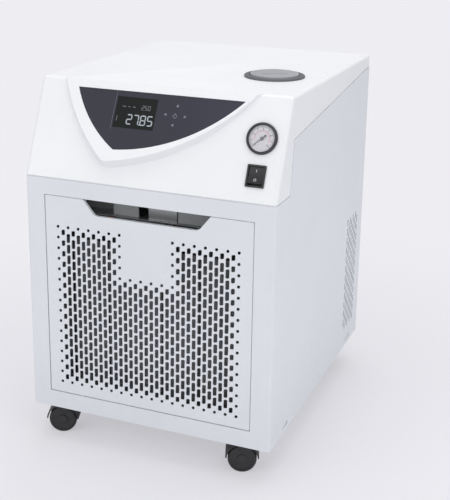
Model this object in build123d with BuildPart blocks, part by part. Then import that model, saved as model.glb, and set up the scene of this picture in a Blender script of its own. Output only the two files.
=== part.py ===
from build123d import *

import os
from math import atan2, cos, degrees, hypot, radians, sin

os.makedirs("parts", exist_ok=True)

# Floor-standing recirculating chiller, in millimetres. X runs to the right seen from the front,
# Y runs to the rear, Z runs up from the floor. Heights named _h start at the cabinet's underside.

# Overall size
body_w = 450.0
body_d = 550.0
body_h = 585.0
castor_h = 65.0
port_reach = 30.0

# Seam between the moulded hood and the sheet metal cabinet
seam_h = 427.0
seam_gap = 2.5
fascia_setback = 68.0
cheek_d = 64.0
cheek_lean = 13.0
skirt_front_h = 69.0
skirt_rear_h = 22.0
tongue_drop = 8.0
tongue_t = 2.0

# Wall thicknesses, edges and fits
sheet_t = 1.5
hood_t = 3.0
corner_r = 6.0
seat_gap = 0.3
running_gap = 0.05

# Front opening and perforated grille
frame_side_w = 36.5
frame_low_h = 32.0
frame_top_h = 32.0
grille_gap = 1.0
grille_fold_d = 10.0
ledge_w = 10.0
handle_top_w = 230.0
handle_low_w = 188.0
handle_h = 26.0
slot_columns = 35
slot_pitch_x = 9.67
slot_pitch_z = 19.2
slot_rows = 16
slot_top_drop = 53.5
slot_w = 5.6
slot_full_h = 13.8
slot_mid_h = 8.5
slot_small_h = 4.6
pad_columns = 9
pad_rows = 4

# Vent in the right side
side_vent_columns = 8
side_vent_rows = 12
side_vent_low_h = 47.0
side_vent_rear = 40.0
lift_slot_w = 38.0
lift_slot_h = 9.0
lift_slot_low_h = 12.0
lift_slot_inset = 74.0

# Raised panel surround on the fascia, measured along the fascia from the seam
pod_top_s = 172.0
pod_inset = 40.0
pod_low_x = -81.0
pod_low_s = 27.0
pod_left_bulge = 13.5
pod_right_bulge = 32.8
pod_low_r = 22.0
pod_proud_top = 4.0
pod_proud_low = 15.0
pod_flare = 8.0
pod_over = 14.0

# Dark control panel with its display window
panel_t = 1.0
panel_top_s = 157.5
panel_inset = 75.5
panel_low_x = -63.5
panel_low_s = 56.5
panel_left_bulge = 10.0
panel_right_bulge = 22.6
panel_gap = 0.2
window_x = -36.5
window_s = 121.0
window_w = 73.0
window_h = 53.0
module_d = 9.0

# Pressure gauge on the fascia
gauge_inset = 41.0
gauge_s = 102.0
gauge_bezel_r = 28.5
gauge_bezel_t = 4.0
gauge_case_r = 24.5
gauge_case_d = 26.0
gauge_dial_r = 23.0
gauge_dial_t = 1.0
gauge_dial_depth = 3.0
needle_t = 0.8
needle_r = 16.0
needle_tail = 8.0
needle_hub_r = 2.6
needle_rest_deg = 222.0
lens_t = 1.2

# Rocker switch on the fascia
switch_inset = 41.5
switch_s = 42.0
switch_w = 31.0
switch_h = 36.0
switch_rim = 3.0
switch_proud = 2.5
switch_body_d = 22.0
rocker_tilt = radians(9.0)
rocker_fit = 0.94
rocker_dip = 2.0
rocker_foot = 5.0
rocker_pin_r = 1.5
rocker_pin_depth = 5.0
rocker_journal_r = 4.0

# Filler on the top
filler_inset = 88.0
filler_back = 230.0
collar_r = 55.0
collar_proud = 3.5
collar_bore_r = 43.0
collar_wall = 4.0
collar_skirt_d = 16.0
collar_ledge_drop = 6.0
collar_ledge_t = 3.0
cap_r = 42.0
cap_proud = 6.0
cap_edge = 1.5

# Reservoir and the deck that carries it
deck_h = 362.0
deck_t = 1.5
deck_lip_h = 20.0
tank_w = 205.0
tank_d = 300.0
tank_h = 165.0
tank_wall = 2.0
tank_side_gap = 28.0
tank_front = 120.0
neck_r = 40.0
neck_wall = 2.0

# Cold side: condenser, fan and compressor
condenser_w = 340.0
condenser_h = 300.0
condenser_d = 32.0
condenser_back = 30.0
condenser_low = 12.0
header_w = 12.0
fin_pitch = 34.0
fin_t = 3.0
fin_depth = 3.0
shroud_t = 2.0
shroud_d = 30.0
fan_r = 118.0
fan_tip_gap = 5.0
fan_hub_r = 34.0
fan_hub_d = 26.0
blade_count = 5
blade_t = 2.0
blade_chord = 62.0
blade_pitch_deg = 28.0
motor_r = 38.0
motor_d = 62.0
motor_shaft_r = 4.0
strut_w = 12.0
strut_t = 3.0
compressor_x = -95.0
compressor_back = 330.0
compressor_r = 72.0
compressor_h = 190.0
compressor_dome = 24.0
compressor_dome_taper = 45.0
compressor_foot_w = 190.0
compressor_foot_t = 4.0
grommet_r = 10.0
grommet_h = 14.0

# Water side: pump and heat exchanger
pump_x = 90.0
pump_back = 300.0
pump_r = 42.0
pump_motor_d = 120.0
pump_axis_h = 75.0
volute_r = 50.0
volute_d = 36.0
exchanger_w = 78.0
exchanger_d = 60.0
exchanger_h = 150.0
exchanger_inset = 75.0
exchanger_back = 420.0
control_box_w = 120.0
control_box_d = 170.0
control_box_h = 90.0
control_box_inset = 85.0
control_box_back = 60.0

# Pipes and hoses
copper_r = 5.0
hose_r = 9.0
hose_stub = 6.0

# Base tray
tray_t = 2.0
tray_wall_h = 25.0

# Sides of the forms that are round on the real product and kept plain here
rim_sides = 48
drum_sides = 24
pipe_sides = 12

# Rear fittings
port_x = 70.0
port_z_h = 300.0
port_pitch = 90.0
port_thread_r = 13.2
port_thread_l = 16.0
port_flange_r = 20.0
port_flange_t = 6.0
port_flange_d = 12.0
port_bore_d = 26.0
port_bore_r = 9.0
drain_x = 150.0
drain_z_h = 55.0
drain_body_r = 9.0
drain_spout_r = 6.5
lever_l = 42.0
lever_w = 12.0
lever_t = 3.0
lever_gap = 5.0
lever_stem = 18.0
inlet_x = -140.0
inlet_z_h = 100.0
inlet_w = 48.0
inlet_h = 28.0
inlet_d = 18.0
inlet_flange = 7.0
inlet_flange_t = 2.5
inlet_wall = 3.0
inlet_pin_pitch = 13.0
inlet_pin_w = 2.0
inlet_pin_h = 8.0
inlet_pin_l = 10.0
rear_vent_rows = 9
rear_vent_w = 170.0
rear_vent_h = 6.0
rear_vent_pitch = 16.0
rear_vent_low_h = 190.0
rear_vent_x = -95.0

# Castors
castor_inset_x = 50.0
castor_inset_front = 52.0
castor_inset_rear = 50.0
castor_plate_w = 55.0
castor_plate_t = 3.0
castor_race_r = 15.0
castor_race_t = 5.0
wheel_r = 25.0
wheel_w = 18.0
wheel_web = 6.0
wheel_side_gap = 1.0
axle_r = 4.0
trail = 16.0
fender_t = 3.0
wheel_gap_z = 27.0
castor_turn_deg = {"fl": 200.0, "fr": 200.0, "rl": 160.0, "rr": 205.0}

# Places worked out from the sizes above
side_x = body_w / 2
pod_half_w = side_x - pod_inset
panel_half_w = side_x - panel_inset
gauge_x = side_x - gauge_inset
switch_x = side_x - switch_inset
filler_x = side_x - filler_inset
control_box_x = control_box_inset - side_x
exchanger_x = exchanger_inset - side_x
front_y = -(body_d + port_reach) / 2
rear_y = front_y + body_d
cab_z = castor_h
seam_z = cab_z + seam_h
top_z = cab_z + body_h
kink_z = top_z - skirt_front_h
rear_seam_z = top_z - skirt_rear_h
cheek_y = front_y + cheek_d
kink_y = cheek_y + cheek_lean
fascia_rise = body_h - seam_h
fascia_tilt = atan2(fascia_setback, fascia_rise)
inner_x = side_x - sheet_t - seat_gap

fascia_plane = Plane(
    origin=(0, front_y, seam_z),
    x_dir=(1, 0, 0),
    z_dir=(0, -cos(fascia_tilt), sin(fascia_tilt)),
)
pod_slope = atan2(pod_proud_low - pod_proud_top, pod_top_s - pod_low_s)
pod_plane = Plane(
    origin=fascia_plane.from_local_coords((0, pod_low_s, pod_proud_low)),
    x_dir=(1, 0, 0),
    z_dir=(0, -cos(fascia_tilt + pod_slope), sin(fascia_tilt + pod_slope)),
)


def save(part, name):
    """Label a finished piece and write its file."""
    part.label = name
    export_step(part, f"parts/{name}.step")


def on_fascia(x, s, n=0.0):
    """A plane parallel to the fascia at x across, s up the slope and n outwards."""
    return Plane(
        origin=fascia_plane.from_local_coords((x, s, n)),
        x_dir=fascia_plane.x_dir,
        z_dir=fascia_plane.z_dir,
    )


def seam_line(drop):
    """The seam's outline seen from the side, moved down and back by drop."""
    return [
        (front_y, seam_z - drop),
        (cheek_y + drop, seam_z - drop),
        (kink_y + drop, kink_z - drop),
        (rear_y, rear_seam_z - drop),
    ]


def wedge_line(top_s, half_w, low_x, low_s, left_bulge, right_bulge):
    """The outline of the control panel and its surround: a straight top and two arcs below it."""
    with BuildLine() as wedge:
        Line((half_w, top_s), (-half_w, top_s))
        SagittaArc((-half_w, top_s), (low_x, low_s), -left_bulge)
        SagittaArc((low_x, low_s), (half_w, top_s), -right_bulge)
    return wedge.edges()


# Base tray: a folded pan that carries the castors and the machinery
tray_low_y = front_y + sheet_t + seat_gap
tray_high_y = rear_y - sheet_t - seat_gap
tray_mid_y = (tray_low_y + tray_high_y) / 2
tray_l = tray_high_y - tray_low_y
tray_top_z = cab_z + tray_t
with BuildPart() as base_tray:
    with BuildSketch(Plane.XY.offset(cab_z)):
        with Locations((0, tray_mid_y)):
            RectangleRounded(2 * inner_x, tray_l, corner_r - sheet_t - seat_gap)
    extrude(amount=tray_wall_h)
    with BuildSketch(Plane.XY.offset(tray_top_z)):
        with Locations((0, tray_mid_y)):
            Rectangle(2 * (inner_x - tray_t), tray_l - 2 * tray_t)
    extrude(amount=tray_wall_h, mode=Mode.SUBTRACT)
save(base_tray.part, "base_tray")

# Front frame: folded sheet with a rebated opening for the grille
frame_top_z = seam_z - seam_gap
open_low_z = cab_z + frame_low_h - grille_gap
open_high_z = seam_z - frame_top_h + grille_gap
open_mid_z = (open_low_z + open_high_z) / 2
open_w = body_w - 2 * frame_side_w + 2 * grille_gap
open_h = open_high_z - open_low_z
ledge_y = front_y + grille_fold_d + seat_gap
with BuildPart() as front_frame:
    with BuildSketch(Plane.XY.offset(cab_z)) as frame_plan:
        with Locations((0, front_y)):
            Rectangle(body_w, cheek_d, align=(Align.CENTER, Align.MIN))
        fillet(frame_plan.vertices().group_by(Axis.Y)[0], corner_r)
    extrude(amount=frame_top_z - cab_z)
    with BuildSketch(Plane.XY.offset(cab_z)) as frame_core:
        with Locations((0, front_y + sheet_t)):
            Rectangle(body_w - 2 * sheet_t, cheek_d, align=(Align.CENTER, Align.MIN))
        fillet(frame_core.vertices().group_by(Axis.Y)[0], corner_r - sheet_t)
    extrude(amount=frame_top_z - cab_z, mode=Mode.SUBTRACT)
    with BuildSketch(Plane.XZ.offset(-front_y)):
        with Locations((0, open_mid_z)):
            Rectangle(open_w, open_h)
    extrude(amount=-sheet_t, mode=Mode.SUBTRACT)
    with BuildSketch(Plane.XZ.offset(-front_y)):
        with Locations((0, open_mid_z)):
            Rectangle(open_w + 2 * sheet_t, open_h + 2 * sheet_t)
            Rectangle(open_w, open_h, mode=Mode.SUBTRACT)
    extrude(amount=-(grille_fold_d + seat_gap + sheet_t))
    with BuildSketch(Plane.XZ.offset(-ledge_y)):
        with Locations((0, open_mid_z)):
            Rectangle(open_w, open_h)
            Rectangle(open_w - 2 * ledge_w, open_h - 2 * ledge_w, mode=Mode.SUBTRACT)
        with Locations((0, open_high_z)):
            Rectangle(handle_top_w, 2 * ledge_w, mode=Mode.SUBTRACT)
    extrude(amount=-sheet_t)
save(front_frame.part, "front_frame")

# Front grille: a shallow folded panel with staggered slots and a finger cut-out at its top
grille_w = body_w - 2 * frame_side_w
grille_low_z = cab_z + frame_low_h
grille_high_z = seam_z - frame_top_h
grille_h = grille_high_z - grille_low_z
grille_mid_z = (grille_low_z + grille_high_z) / 2
slot_top_z = grille_high_z - slot_top_drop


def slot_heights(column, row):
    """The height of one slot, smaller towards the edge of the field and round the blank pad."""
    last_row = slot_rows - 1 - column % 2
    from_side = min(column, slot_columns - 1 - column)
    from_end = min(row, last_row - row) * 2 + column % 2
    pad_side = abs(column - (slot_columns - 1) // 2) - pad_columns // 2
    pad_drop = 2 * (row - pad_rows) + column % 2
    near_pad = max(pad_side - 1, pad_drop) if row <= pad_rows else pad_drop
    nearest = min(from_side, from_end, max(near_pad, 0) if near_pad < 2 else 2)
    return (slot_small_h, slot_mid_h, slot_full_h)[min(nearest, 2)]


def slot_places():
    """Every slot's centre on the front, grouped by its height."""
    places = {slot_small_h: [], slot_mid_h: [], slot_full_h: []}
    for column in range(slot_columns):
        x = (column - (slot_columns - 1) / 2) * slot_pitch_x
        first_z = slot_top_z - column % 2 * slot_pitch_z / 2
        in_pad = abs(column - (slot_columns - 1) // 2) <= pad_columns // 2
        for row in range(slot_rows - column % 2):
            if in_pad and row < pad_rows:
                continue
            places[slot_heights(column, row)].append((x, first_z - row * slot_pitch_z))
    return places


slot_wires = [
    Wire.make_rect(slot_w, height).moved(Location((x, z, 0)))
    for height, places in slot_places().items()
    for x, z in places
    if height > slot_small_h
]
grille_edge = Wire.make_rect(grille_w, grille_h).moved(Location((0, grille_mid_z, 0)))
with BuildPart() as front_grille:
    with BuildSketch(Plane.XZ.offset(-front_y)):
        add(Face(grille_edge, slot_wires))
    extrude(amount=-sheet_t)
    with BuildSketch(Plane.XZ.offset(-front_y)):
        with Locations((0, grille_mid_z)):
            Rectangle(grille_w, grille_h)
            Rectangle(grille_w - 2 * sheet_t, grille_h - 2 * sheet_t, mode=Mode.SUBTRACT)
    extrude(amount=-grille_fold_d)
    with BuildSketch(Plane.XZ.offset(-front_y)):
        with Locations((0, grille_high_z)):
            Trapezoid(
                handle_top_w + 2 * sheet_t,
                handle_h + sheet_t,
                degrees(atan2(handle_h, (handle_top_w - handle_low_w) / 2)),
                rotation=180,
                align=(Align.CENTER, Align.MIN),
            )
    extrude(amount=-grille_fold_d / 2)
    with BuildSketch(Plane.XZ.offset(-front_y)):
        with Locations((0, grille_high_z)):
            Trapezoid(
                handle_top_w,
                handle_h,
                degrees(atan2(handle_h, (handle_top_w - handle_low_w) / 2)),
                rotation=180,
                align=(Align.CENTER, Align.MIN),
            )
    extrude(amount=-grille_fold_d, mode=Mode.SUBTRACT)
save(front_grille.part, "front_grille")

# Catches: four magnets behind the frame's ledge that hold the grille
magnet_w = 24.0
magnet_t = 5.0
magnet_x = open_w / 2 - ledge_w / 2
magnet_z = open_h / 2 - magnet_w
with BuildPart() as grille_magnets:
    with BuildSketch(Plane.XZ.offset(-ledge_y - sheet_t)):
        with Locations((0, open_mid_z)):
            with GridLocations(2 * magnet_x, 2 * magnet_z, 2, 2):
                Rectangle(ledge_w - sheet_t, magnet_w)
    extrude(amount=-magnet_t)
save(grille_magnets.part, "grille_magnets")


# Side panels: flat sheets that follow the hood's rising seam
def side_outline():
    """A side panel's outline in Y and Z, with the seam's gap at its top."""
    line = seam_line(seam_gap)
    panel_front = cheek_y + seat_gap
    return [
        (panel_front, cab_z),
        (rear_y, cab_z),
        line[3],
        line[2],
        line[1],
        (panel_front, line[1][1]),
    ]


for side, outer_x in (("left", -side_x), ("right", side_x - sheet_t)):
    with BuildPart() as side_panel:
        with BuildSketch(Plane.YZ.offset(outer_x)):
            with BuildLine():
                Polyline(*side_outline(), close=True)
            make_face()
            for lift_y in (front_y + lift_slot_inset, rear_y - lift_slot_inset):
                with Locations((lift_y, cab_z + lift_slot_low_h)):
                    SlotOverall(lift_slot_w, lift_slot_h, mode=Mode.SUBTRACT)
            if side == "right":
                for column in range(side_vent_columns):
                    vent_y = rear_y - side_vent_rear - column * slot_pitch_x
                    vent_z = cab_z + side_vent_low_h + column % 2 * slot_pitch_z / 2
                    rows = [
                        (vent_y, vent_z + row * slot_pitch_z)
                        for row in range(side_vent_rows)
                    ]
                    with Locations(*rows):
                        Rectangle(slot_w, slot_full_h, mode=Mode.SUBTRACT)
        extrude(amount=sheet_t)
    save(side_panel.part, f"{side}_side_panel")

# Rear panel with its outlet louvres
port_z = cab_z + port_z_h
port_places = {"pump_outlet": port_x, "return_inlet": port_x + port_pitch}
drain_z = cab_z + drain_z_h
inlet_z = cab_z + inlet_z_h
rear_panel_h = rear_seam_z - seam_gap - cab_z
with BuildPart() as rear_panel:
    with BuildSketch(Plane.XZ.offset(-rear_y)):
        with Locations((0, cab_z + rear_panel_h / 2)):
            Rectangle(2 * (side_x - sheet_t - seat_gap), rear_panel_h)
        with Locations(*[(x, port_z) for x in port_places.values()]):
            Circle(port_thread_r + seat_gap, mode=Mode.SUBTRACT)
        with Locations((drain_x, drain_z)):
            Circle(drain_body_r + seat_gap, mode=Mode.SUBTRACT)
        with Locations((inlet_x, inlet_z)):
            Rectangle(inlet_w + 2 * seat_gap, inlet_h + 2 * seat_gap, mode=Mode.SUBTRACT)
        vent_mid_z = cab_z + rear_vent_low_h + (rear_vent_rows - 1) * rear_vent_pitch / 2
        with Locations((rear_vent_x, vent_mid_z)):
            with GridLocations(1, rear_vent_pitch, 1, rear_vent_rows):
                Rectangle(rear_vent_w, rear_vent_h, mode=Mode.SUBTRACT)
    extrude(amount=sheet_t)
save(rear_panel.part, "rear_panel")


# Hood: one moulded shell with the fascia, the raised surround and the cheeks
def fascia_y(z):
    """Where the fascia's outer face stands at a height."""
    return front_y + (z - seam_z) * fascia_setback / fascia_rise


def pod_sketch_plane(x=0.0, s=0.0, n=0.0):
    """A plane parallel to the surround's face, with s counted up the fascia as elsewhere."""
    return Plane(
        origin=pod_plane.from_local_coords((x, s - pod_low_s, n)),
        x_dir=pod_plane.x_dir,
        z_dir=pod_plane.z_dir,
    )


pod_line = wedge_line(
    pod_top_s + pod_over - pod_low_s,
    pod_half_w + pod_over / 3,
    pod_low_x,
    0,
    pod_left_bulge,
    pod_right_bulge,
)
core_line = wedge_line(
    pod_top_s + pod_over - pod_low_s,
    pod_half_w + pod_over / 3 - pod_flare - 2 * hood_t,
    pod_low_x + pod_flare / 2,
    pod_flare + 3 * hood_t,
    pod_left_bulge,
    pod_right_bulge,
)
panel_line = wedge_line(
    panel_top_s - pod_low_s,
    panel_half_w,
    panel_low_x,
    panel_low_s - pod_low_s,
    panel_left_bulge,
    panel_right_bulge,
)
with BuildPart() as pod:
    with BuildSketch(pod_sketch_plane(s=pod_low_s)) as pod_outline:
        make_face(pod_line)
        fillet(pod_outline.vertices().sort_by(Axis.Y)[0], pod_low_r)
    extrude(amount=-(pod_proud_low + hood_t))
    pod_face = pod.faces().sort_by(Axis(pod_plane.origin, pod_plane.z_dir))[-1]
    chamfer(
        pod_face.edges(),
        length=pod_flare,
        length2=pod_proud_low,
        reference=pod_face,
    )
    split(bisect_by=Plane.XY.offset(top_z), keep=Keep.BOTTOM)
with BuildPart() as pod_core:
    with BuildSketch(pod_sketch_plane(s=pod_low_s, n=-hood_t)) as core_outline:
        make_face(core_line)
        fillet(core_outline.vertices().sort_by(Axis.Y)[0], pod_low_r / 2)
    extrude(amount=-(pod_proud_low + 2 * hood_t))
    split(bisect_by=Plane.XY.offset(top_z - hood_t), keep=Keep.BOTTOM)

cheek_line = seam_line(0)
tongue_low = seam_line(seam_gap + tongue_drop)
tongue_high = seam_line(-hood_t)
tongue_in = sheet_t + seat_gap
filler_y = front_y + filler_back
with BuildPart() as tongue:
    with BuildSketch(Plane.YZ.offset(-inner_x)):
        with BuildLine():
            Polyline(
                (front_y + tongue_in, tongue_low[0][1]),
                *tongue_low[1:3],
                (rear_y - tongue_in, tongue_low[3][1]),
                (rear_y - tongue_in, tongue_high[3][1]),
                *tongue_high[2:0:-1],
                (front_y + tongue_in, tongue_high[0][1]),
                close=True,
            )
        make_face()
    extrude(amount=2 * inner_x)
    fillet(tongue.edges().filter_by(Axis.Z).group_by(Axis.Y)[0], corner_r - tongue_in)
    with BuildSketch(Plane.XY.offset(cab_z)) as tongue_core:
        with Locations((0, front_y + tongue_in + tongue_t)):
            Rectangle(
                2 * (inner_x - tongue_t),
                body_d - 2 * (tongue_in + tongue_t),
                align=(Align.CENTER, Align.MIN),
            )
        fillet(tongue_core.vertices().group_by(Axis.Y)[0], corner_r - tongue_in - tongue_t)
    extrude(amount=body_h, mode=Mode.SUBTRACT)
with BuildPart() as hood:
    with BuildSketch(Plane.YZ.offset(-side_x)):
        with BuildLine():
            Polyline(
                *cheek_line,
                (rear_y, top_z),
                (front_y + fascia_setback, top_z),
                close=True,
            )
        make_face()
    extrude(amount=body_w)
    fillet(
        hood.edges().filter_by(Axis.X).filter_by_position(Axis.Z, top_z - 1, top_z + 1),
        corner_r,
    )
    cheek_edges = hood.faces().filter_by(Axis.X).edges()
    fillet(
        cheek_edges.filter_by(
            lambda edge: edge.center().Z > rear_seam_z + skirt_rear_h / 3
            or edge.center().Y < fascia_y(edge.center().Z) + seat_gap
            and edge.center().Z > seam_z + 1
        ),
        corner_r,
    )
    add(pod.part)
    with BuildSketch(Plane.YZ.offset(-side_x + hood_t)):
        core_low_z = seam_z - 4 * tongue_drop
        wall_y = hood_t / cos(fascia_tilt)
        with BuildLine():
            Polyline(
                (fascia_y(core_low_z) + wall_y, core_low_z),
                (rear_y - hood_t, core_low_z),
                (rear_y - hood_t, top_z - hood_t),
                (fascia_y(top_z - hood_t) + wall_y, top_z - hood_t),
                close=True,
            )
        make_face()
    extrude(amount=body_w - 2 * hood_t, mode=Mode.SUBTRACT)
    add(pod_core.part, mode=Mode.SUBTRACT)
    add(tongue.part)
    with BuildSketch(pod_sketch_plane(s=pod_low_s, n=-panel_t)):
        make_face(panel_line)
    extrude(amount=pod_proud_low, mode=Mode.SUBTRACT)
    with BuildSketch(pod_sketch_plane(window_x, window_s, -2 * hood_t)):
        Rectangle(window_w - 2 * hood_t, window_h - 2 * hood_t)
    extrude(amount=2 * hood_t, mode=Mode.SUBTRACT)
    with BuildSketch(on_fascia(gauge_x, gauge_s, -2 * hood_t)):
        Circle(gauge_case_r + seat_gap)
    extrude(amount=3 * hood_t, mode=Mode.SUBTRACT)
    with BuildSketch(on_fascia(switch_x, switch_s, -2 * hood_t)):
        Rectangle(switch_w - switch_rim + seat_gap, switch_h - switch_rim + seat_gap)
    extrude(amount=3 * hood_t, mode=Mode.SUBTRACT)
    with BuildSketch(Plane.XY.offset(top_z - 2 * hood_t)):
        with Locations((filler_x, filler_y)):
            Circle(collar_bore_r + collar_wall + seat_gap)
    extrude(amount=3 * hood_t, mode=Mode.SUBTRACT)
save(hood.part, "hood")

# Mid deck: the shelf between the machine space and the water space
deck_z = cab_z + deck_h
deck_front_y = front_y + cheek_d / 2
deck_rear_y = rear_y - sheet_t - seat_gap
deck_top_z = deck_z + deck_t
pump_y = front_y + pump_back
hose_y = pump_y - 5 * hose_r
tank_low_z = deck_top_z
tank_x = inner_x - tank_side_gap - tank_w / 2
tank_y = front_y + tank_front + tank_d / 2
exchanger_y = front_y + exchanger_back
with BuildPart() as mid_deck:
    with BuildSketch(Plane.XY.offset(deck_z - deck_lip_h)):
        with Locations((0, (deck_front_y + deck_rear_y) / 2)):
            Rectangle(2 * inner_x, deck_rear_y - deck_front_y)
    extrude(amount=deck_lip_h + deck_t)
    with BuildSketch(Plane.XY.offset(deck_z - deck_lip_h)):
        with Locations((0, (deck_front_y + deck_rear_y) / 2)):
            Rectangle(2 * (inner_x - deck_t), deck_rear_y - deck_front_y)
    extrude(amount=deck_lip_h, mode=Mode.SUBTRACT)
    with BuildSketch(Plane.XY.offset(deck_z)):
        with Locations((pump_x, hose_y)):
            Rectangle(4 * hose_r, 4 * hose_r)
    extrude(amount=deck_t, mode=Mode.SUBTRACT)
save(mid_deck.part, "mid_deck")

# Condenser: a finned block between two header plates that stand on the tray
condenser_y = front_y + condenser_back
condenser_mid_z = tray_top_z + condenser_low + condenser_h / 2
with BuildPart() as condenser:
    with BuildSketch(Plane.XZ.offset(-condenser_y)):
        with Locations((0, condenser_mid_z)):
            Rectangle(condenser_w, condenser_h)
        with Locations((0, tray_top_z)):
            with GridLocations(condenser_w + header_w, 1, 2, 1):
                Rectangle(header_w, condenser_h + 2 * condenser_low, align=(Align.CENTER, Align.MIN))
    extrude(amount=-condenser_d)
    fin_count = int(condenser_w // fin_pitch)
    with BuildSketch(Plane.XZ.offset(-condenser_y)):
        with Locations((0, condenser_mid_z)):
            with GridLocations(fin_pitch, 1, fin_count, 1):
                Rectangle(fin_t, condenser_h)
    extrude(amount=-fin_depth, mode=Mode.SUBTRACT)
save(condenser.part, "condenser")

# Fan: shroud on the condenser, motor on a cross bracket, rotor on the motor's shaft
shroud_y = condenser_y + condenser_d
fan_z = condenser_mid_z
shroud_w = condenser_w - 2 * header_w
with BuildPart() as fan_shroud:
    with BuildSketch(Plane.XZ.offset(-shroud_y)):
        with Locations((0, fan_z)):
            Rectangle(shroud_w, condenser_h)
    extrude(amount=-shroud_d)
    with BuildSketch(Plane.XZ.offset(-shroud_y)):
        with Locations((0, fan_z)):
            Rectangle(shroud_w - 2 * shroud_t, condenser_h - 2 * shroud_t)
    extrude(amount=-(shroud_d - shroud_t), mode=Mode.SUBTRACT)
    with BuildSketch(Plane.XZ.offset(-shroud_y)):
        with Locations((0, fan_z)):
            Circle(fan_r + fan_tip_gap)
    extrude(amount=-shroud_d, mode=Mode.SUBTRACT)
save(fan_shroud.part, "fan_shroud")

rotor_y = shroud_y + shroud_d - fan_hub_d / 2
shroud_back_y = shroud_y + shroud_d
blade_plane = Plane(origin=(0, rotor_y + fan_hub_d / 2, fan_z), x_dir=(1, 0, 0), z_dir=(0, -1, 0))
with BuildPart() as fan_rotor:
    with BuildSketch(blade_plane):
        RegularPolygon(fan_hub_r, drum_sides)
    extrude(amount=fan_hub_d)
    with Locations(blade_plane.offset(fan_hub_d / 2)):
        with PolarLocations((fan_hub_r + fan_r) / 2 - 1, blade_count):
            Box(
                fan_r - fan_hub_r,
                blade_chord,
                blade_t,
                rotation=(blade_pitch_deg, 0, 0),
            )
    with BuildSketch(blade_plane):
        Circle(fan_r)
    extrude(amount=fan_hub_d, mode=Mode.INTERSECT)
    with BuildSketch(blade_plane):
        Circle(motor_shaft_r + running_gap)
    extrude(amount=fan_hub_d - fin_t, mode=Mode.SUBTRACT)
save(fan_rotor.part, "fan_rotor")

motor_y = rotor_y + fan_hub_d / 2 + wheel_side_gap + strut_t
bracket_span = 2 * (fan_r + fan_tip_gap) + 2 * strut_w
with BuildPart() as fan_motor:
    with BuildSketch(Plane.XZ.offset(-motor_y)):
        with Locations((0, fan_z)):
            RegularPolygon(motor_r, drum_sides)
    extrude(amount=-motor_d)
    with BuildSketch(Plane.XZ.offset(-motor_y)):
        with Locations((0, fan_z)):
            Circle(motor_shaft_r)
    extrude(amount=fan_hub_d - 2 * fin_t)
save(fan_motor.part, "fan_motor")

with BuildPart() as motor_bracket:
    with BuildSketch(Plane.XZ.offset(-motor_y + strut_t)):
        with Locations((0, fan_z)):
            Rectangle(bracket_span, strut_w)
            Rectangle(strut_w, bracket_span)
            RegularPolygon(motor_shaft_r + wheel_side_gap, pipe_sides, mode=Mode.SUBTRACT)
    extrude(amount=-strut_t)
    with BuildSketch(Plane.XZ.offset(-shroud_back_y)):
        with Locations((0, fan_z)):
            with GridLocations(bracket_span - strut_w, 1, 2, 1):
                Rectangle(strut_w, strut_w)
            with GridLocations(1, bracket_span - strut_w, 1, 2):
                Rectangle(strut_w, strut_w)
    extrude(amount=-(motor_y - shroud_back_y))
save(motor_bracket.part, "motor_bracket")

# Compressor on four grommets
compressor_y = front_y + compressor_back
grommet_top_z = tray_top_z + grommet_h
with BuildPart() as compressor:
    with BuildSketch(Plane.XY.offset(grommet_top_z)):
        with Locations((compressor_x, compressor_y)):
            RegularPolygon(compressor_r, drum_sides)
    extrude(amount=compressor_h - compressor_dome)
    extrude(
        compressor.faces().sort_by(Axis.Z)[-1],
        amount=compressor_dome,
        taper=compressor_dome_taper,
    )
    with BuildSketch(Plane.XY.offset(grommet_top_z)):
        with Locations((compressor_x, compressor_y)):
            Rectangle(compressor_foot_w, compressor_foot_w)
    extrude(amount=compressor_foot_t)
save(compressor.part, "compressor")

with BuildPart() as compressor_grommets:
    with BuildSketch(Plane.XY.offset(tray_top_z)):
        with Locations((compressor_x, compressor_y)):
            with GridLocations(
                compressor_foot_w - 2 * grommet_r, compressor_foot_w - 2 * grommet_r, 2, 2
            ):
                RegularPolygon(grommet_r, 8)
    extrude(amount=grommet_h)
save(compressor_grommets.part, "compressor_grommets")

# Circulation pump: a motor on a foot block with the volute at its front
pump_z = tray_top_z + pump_axis_h
volute_mid_y = pump_y + volute_d / 2
with BuildPart() as pump:
    with BuildSketch(Plane.XZ.offset(-pump_y)):
        with Locations((pump_x, pump_z)):
            RegularPolygon(volute_r, drum_sides)
    extrude(amount=-volute_d)
    with BuildSketch(Plane.XZ.offset(-(pump_y + volute_d))):
        with Locations((pump_x, pump_z)):
            RegularPolygon(pump_r, drum_sides)
    extrude(amount=-pump_motor_d)
    with BuildSketch(Plane.XY.offset(tray_top_z)):
        with Locations((pump_x, pump_y + volute_d + pump_motor_d / 2)):
            Rectangle(pump_r, pump_motor_d / 2)
    extrude(amount=pump_axis_h)
    with BuildSketch(Plane.XY.offset(pump_z)):
        with Locations((pump_x, volute_mid_y)):
            RegularPolygon(hose_r, pipe_sides)
    extrude(amount=volute_r + hose_stub)
save(pump.part, "pump")

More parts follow.
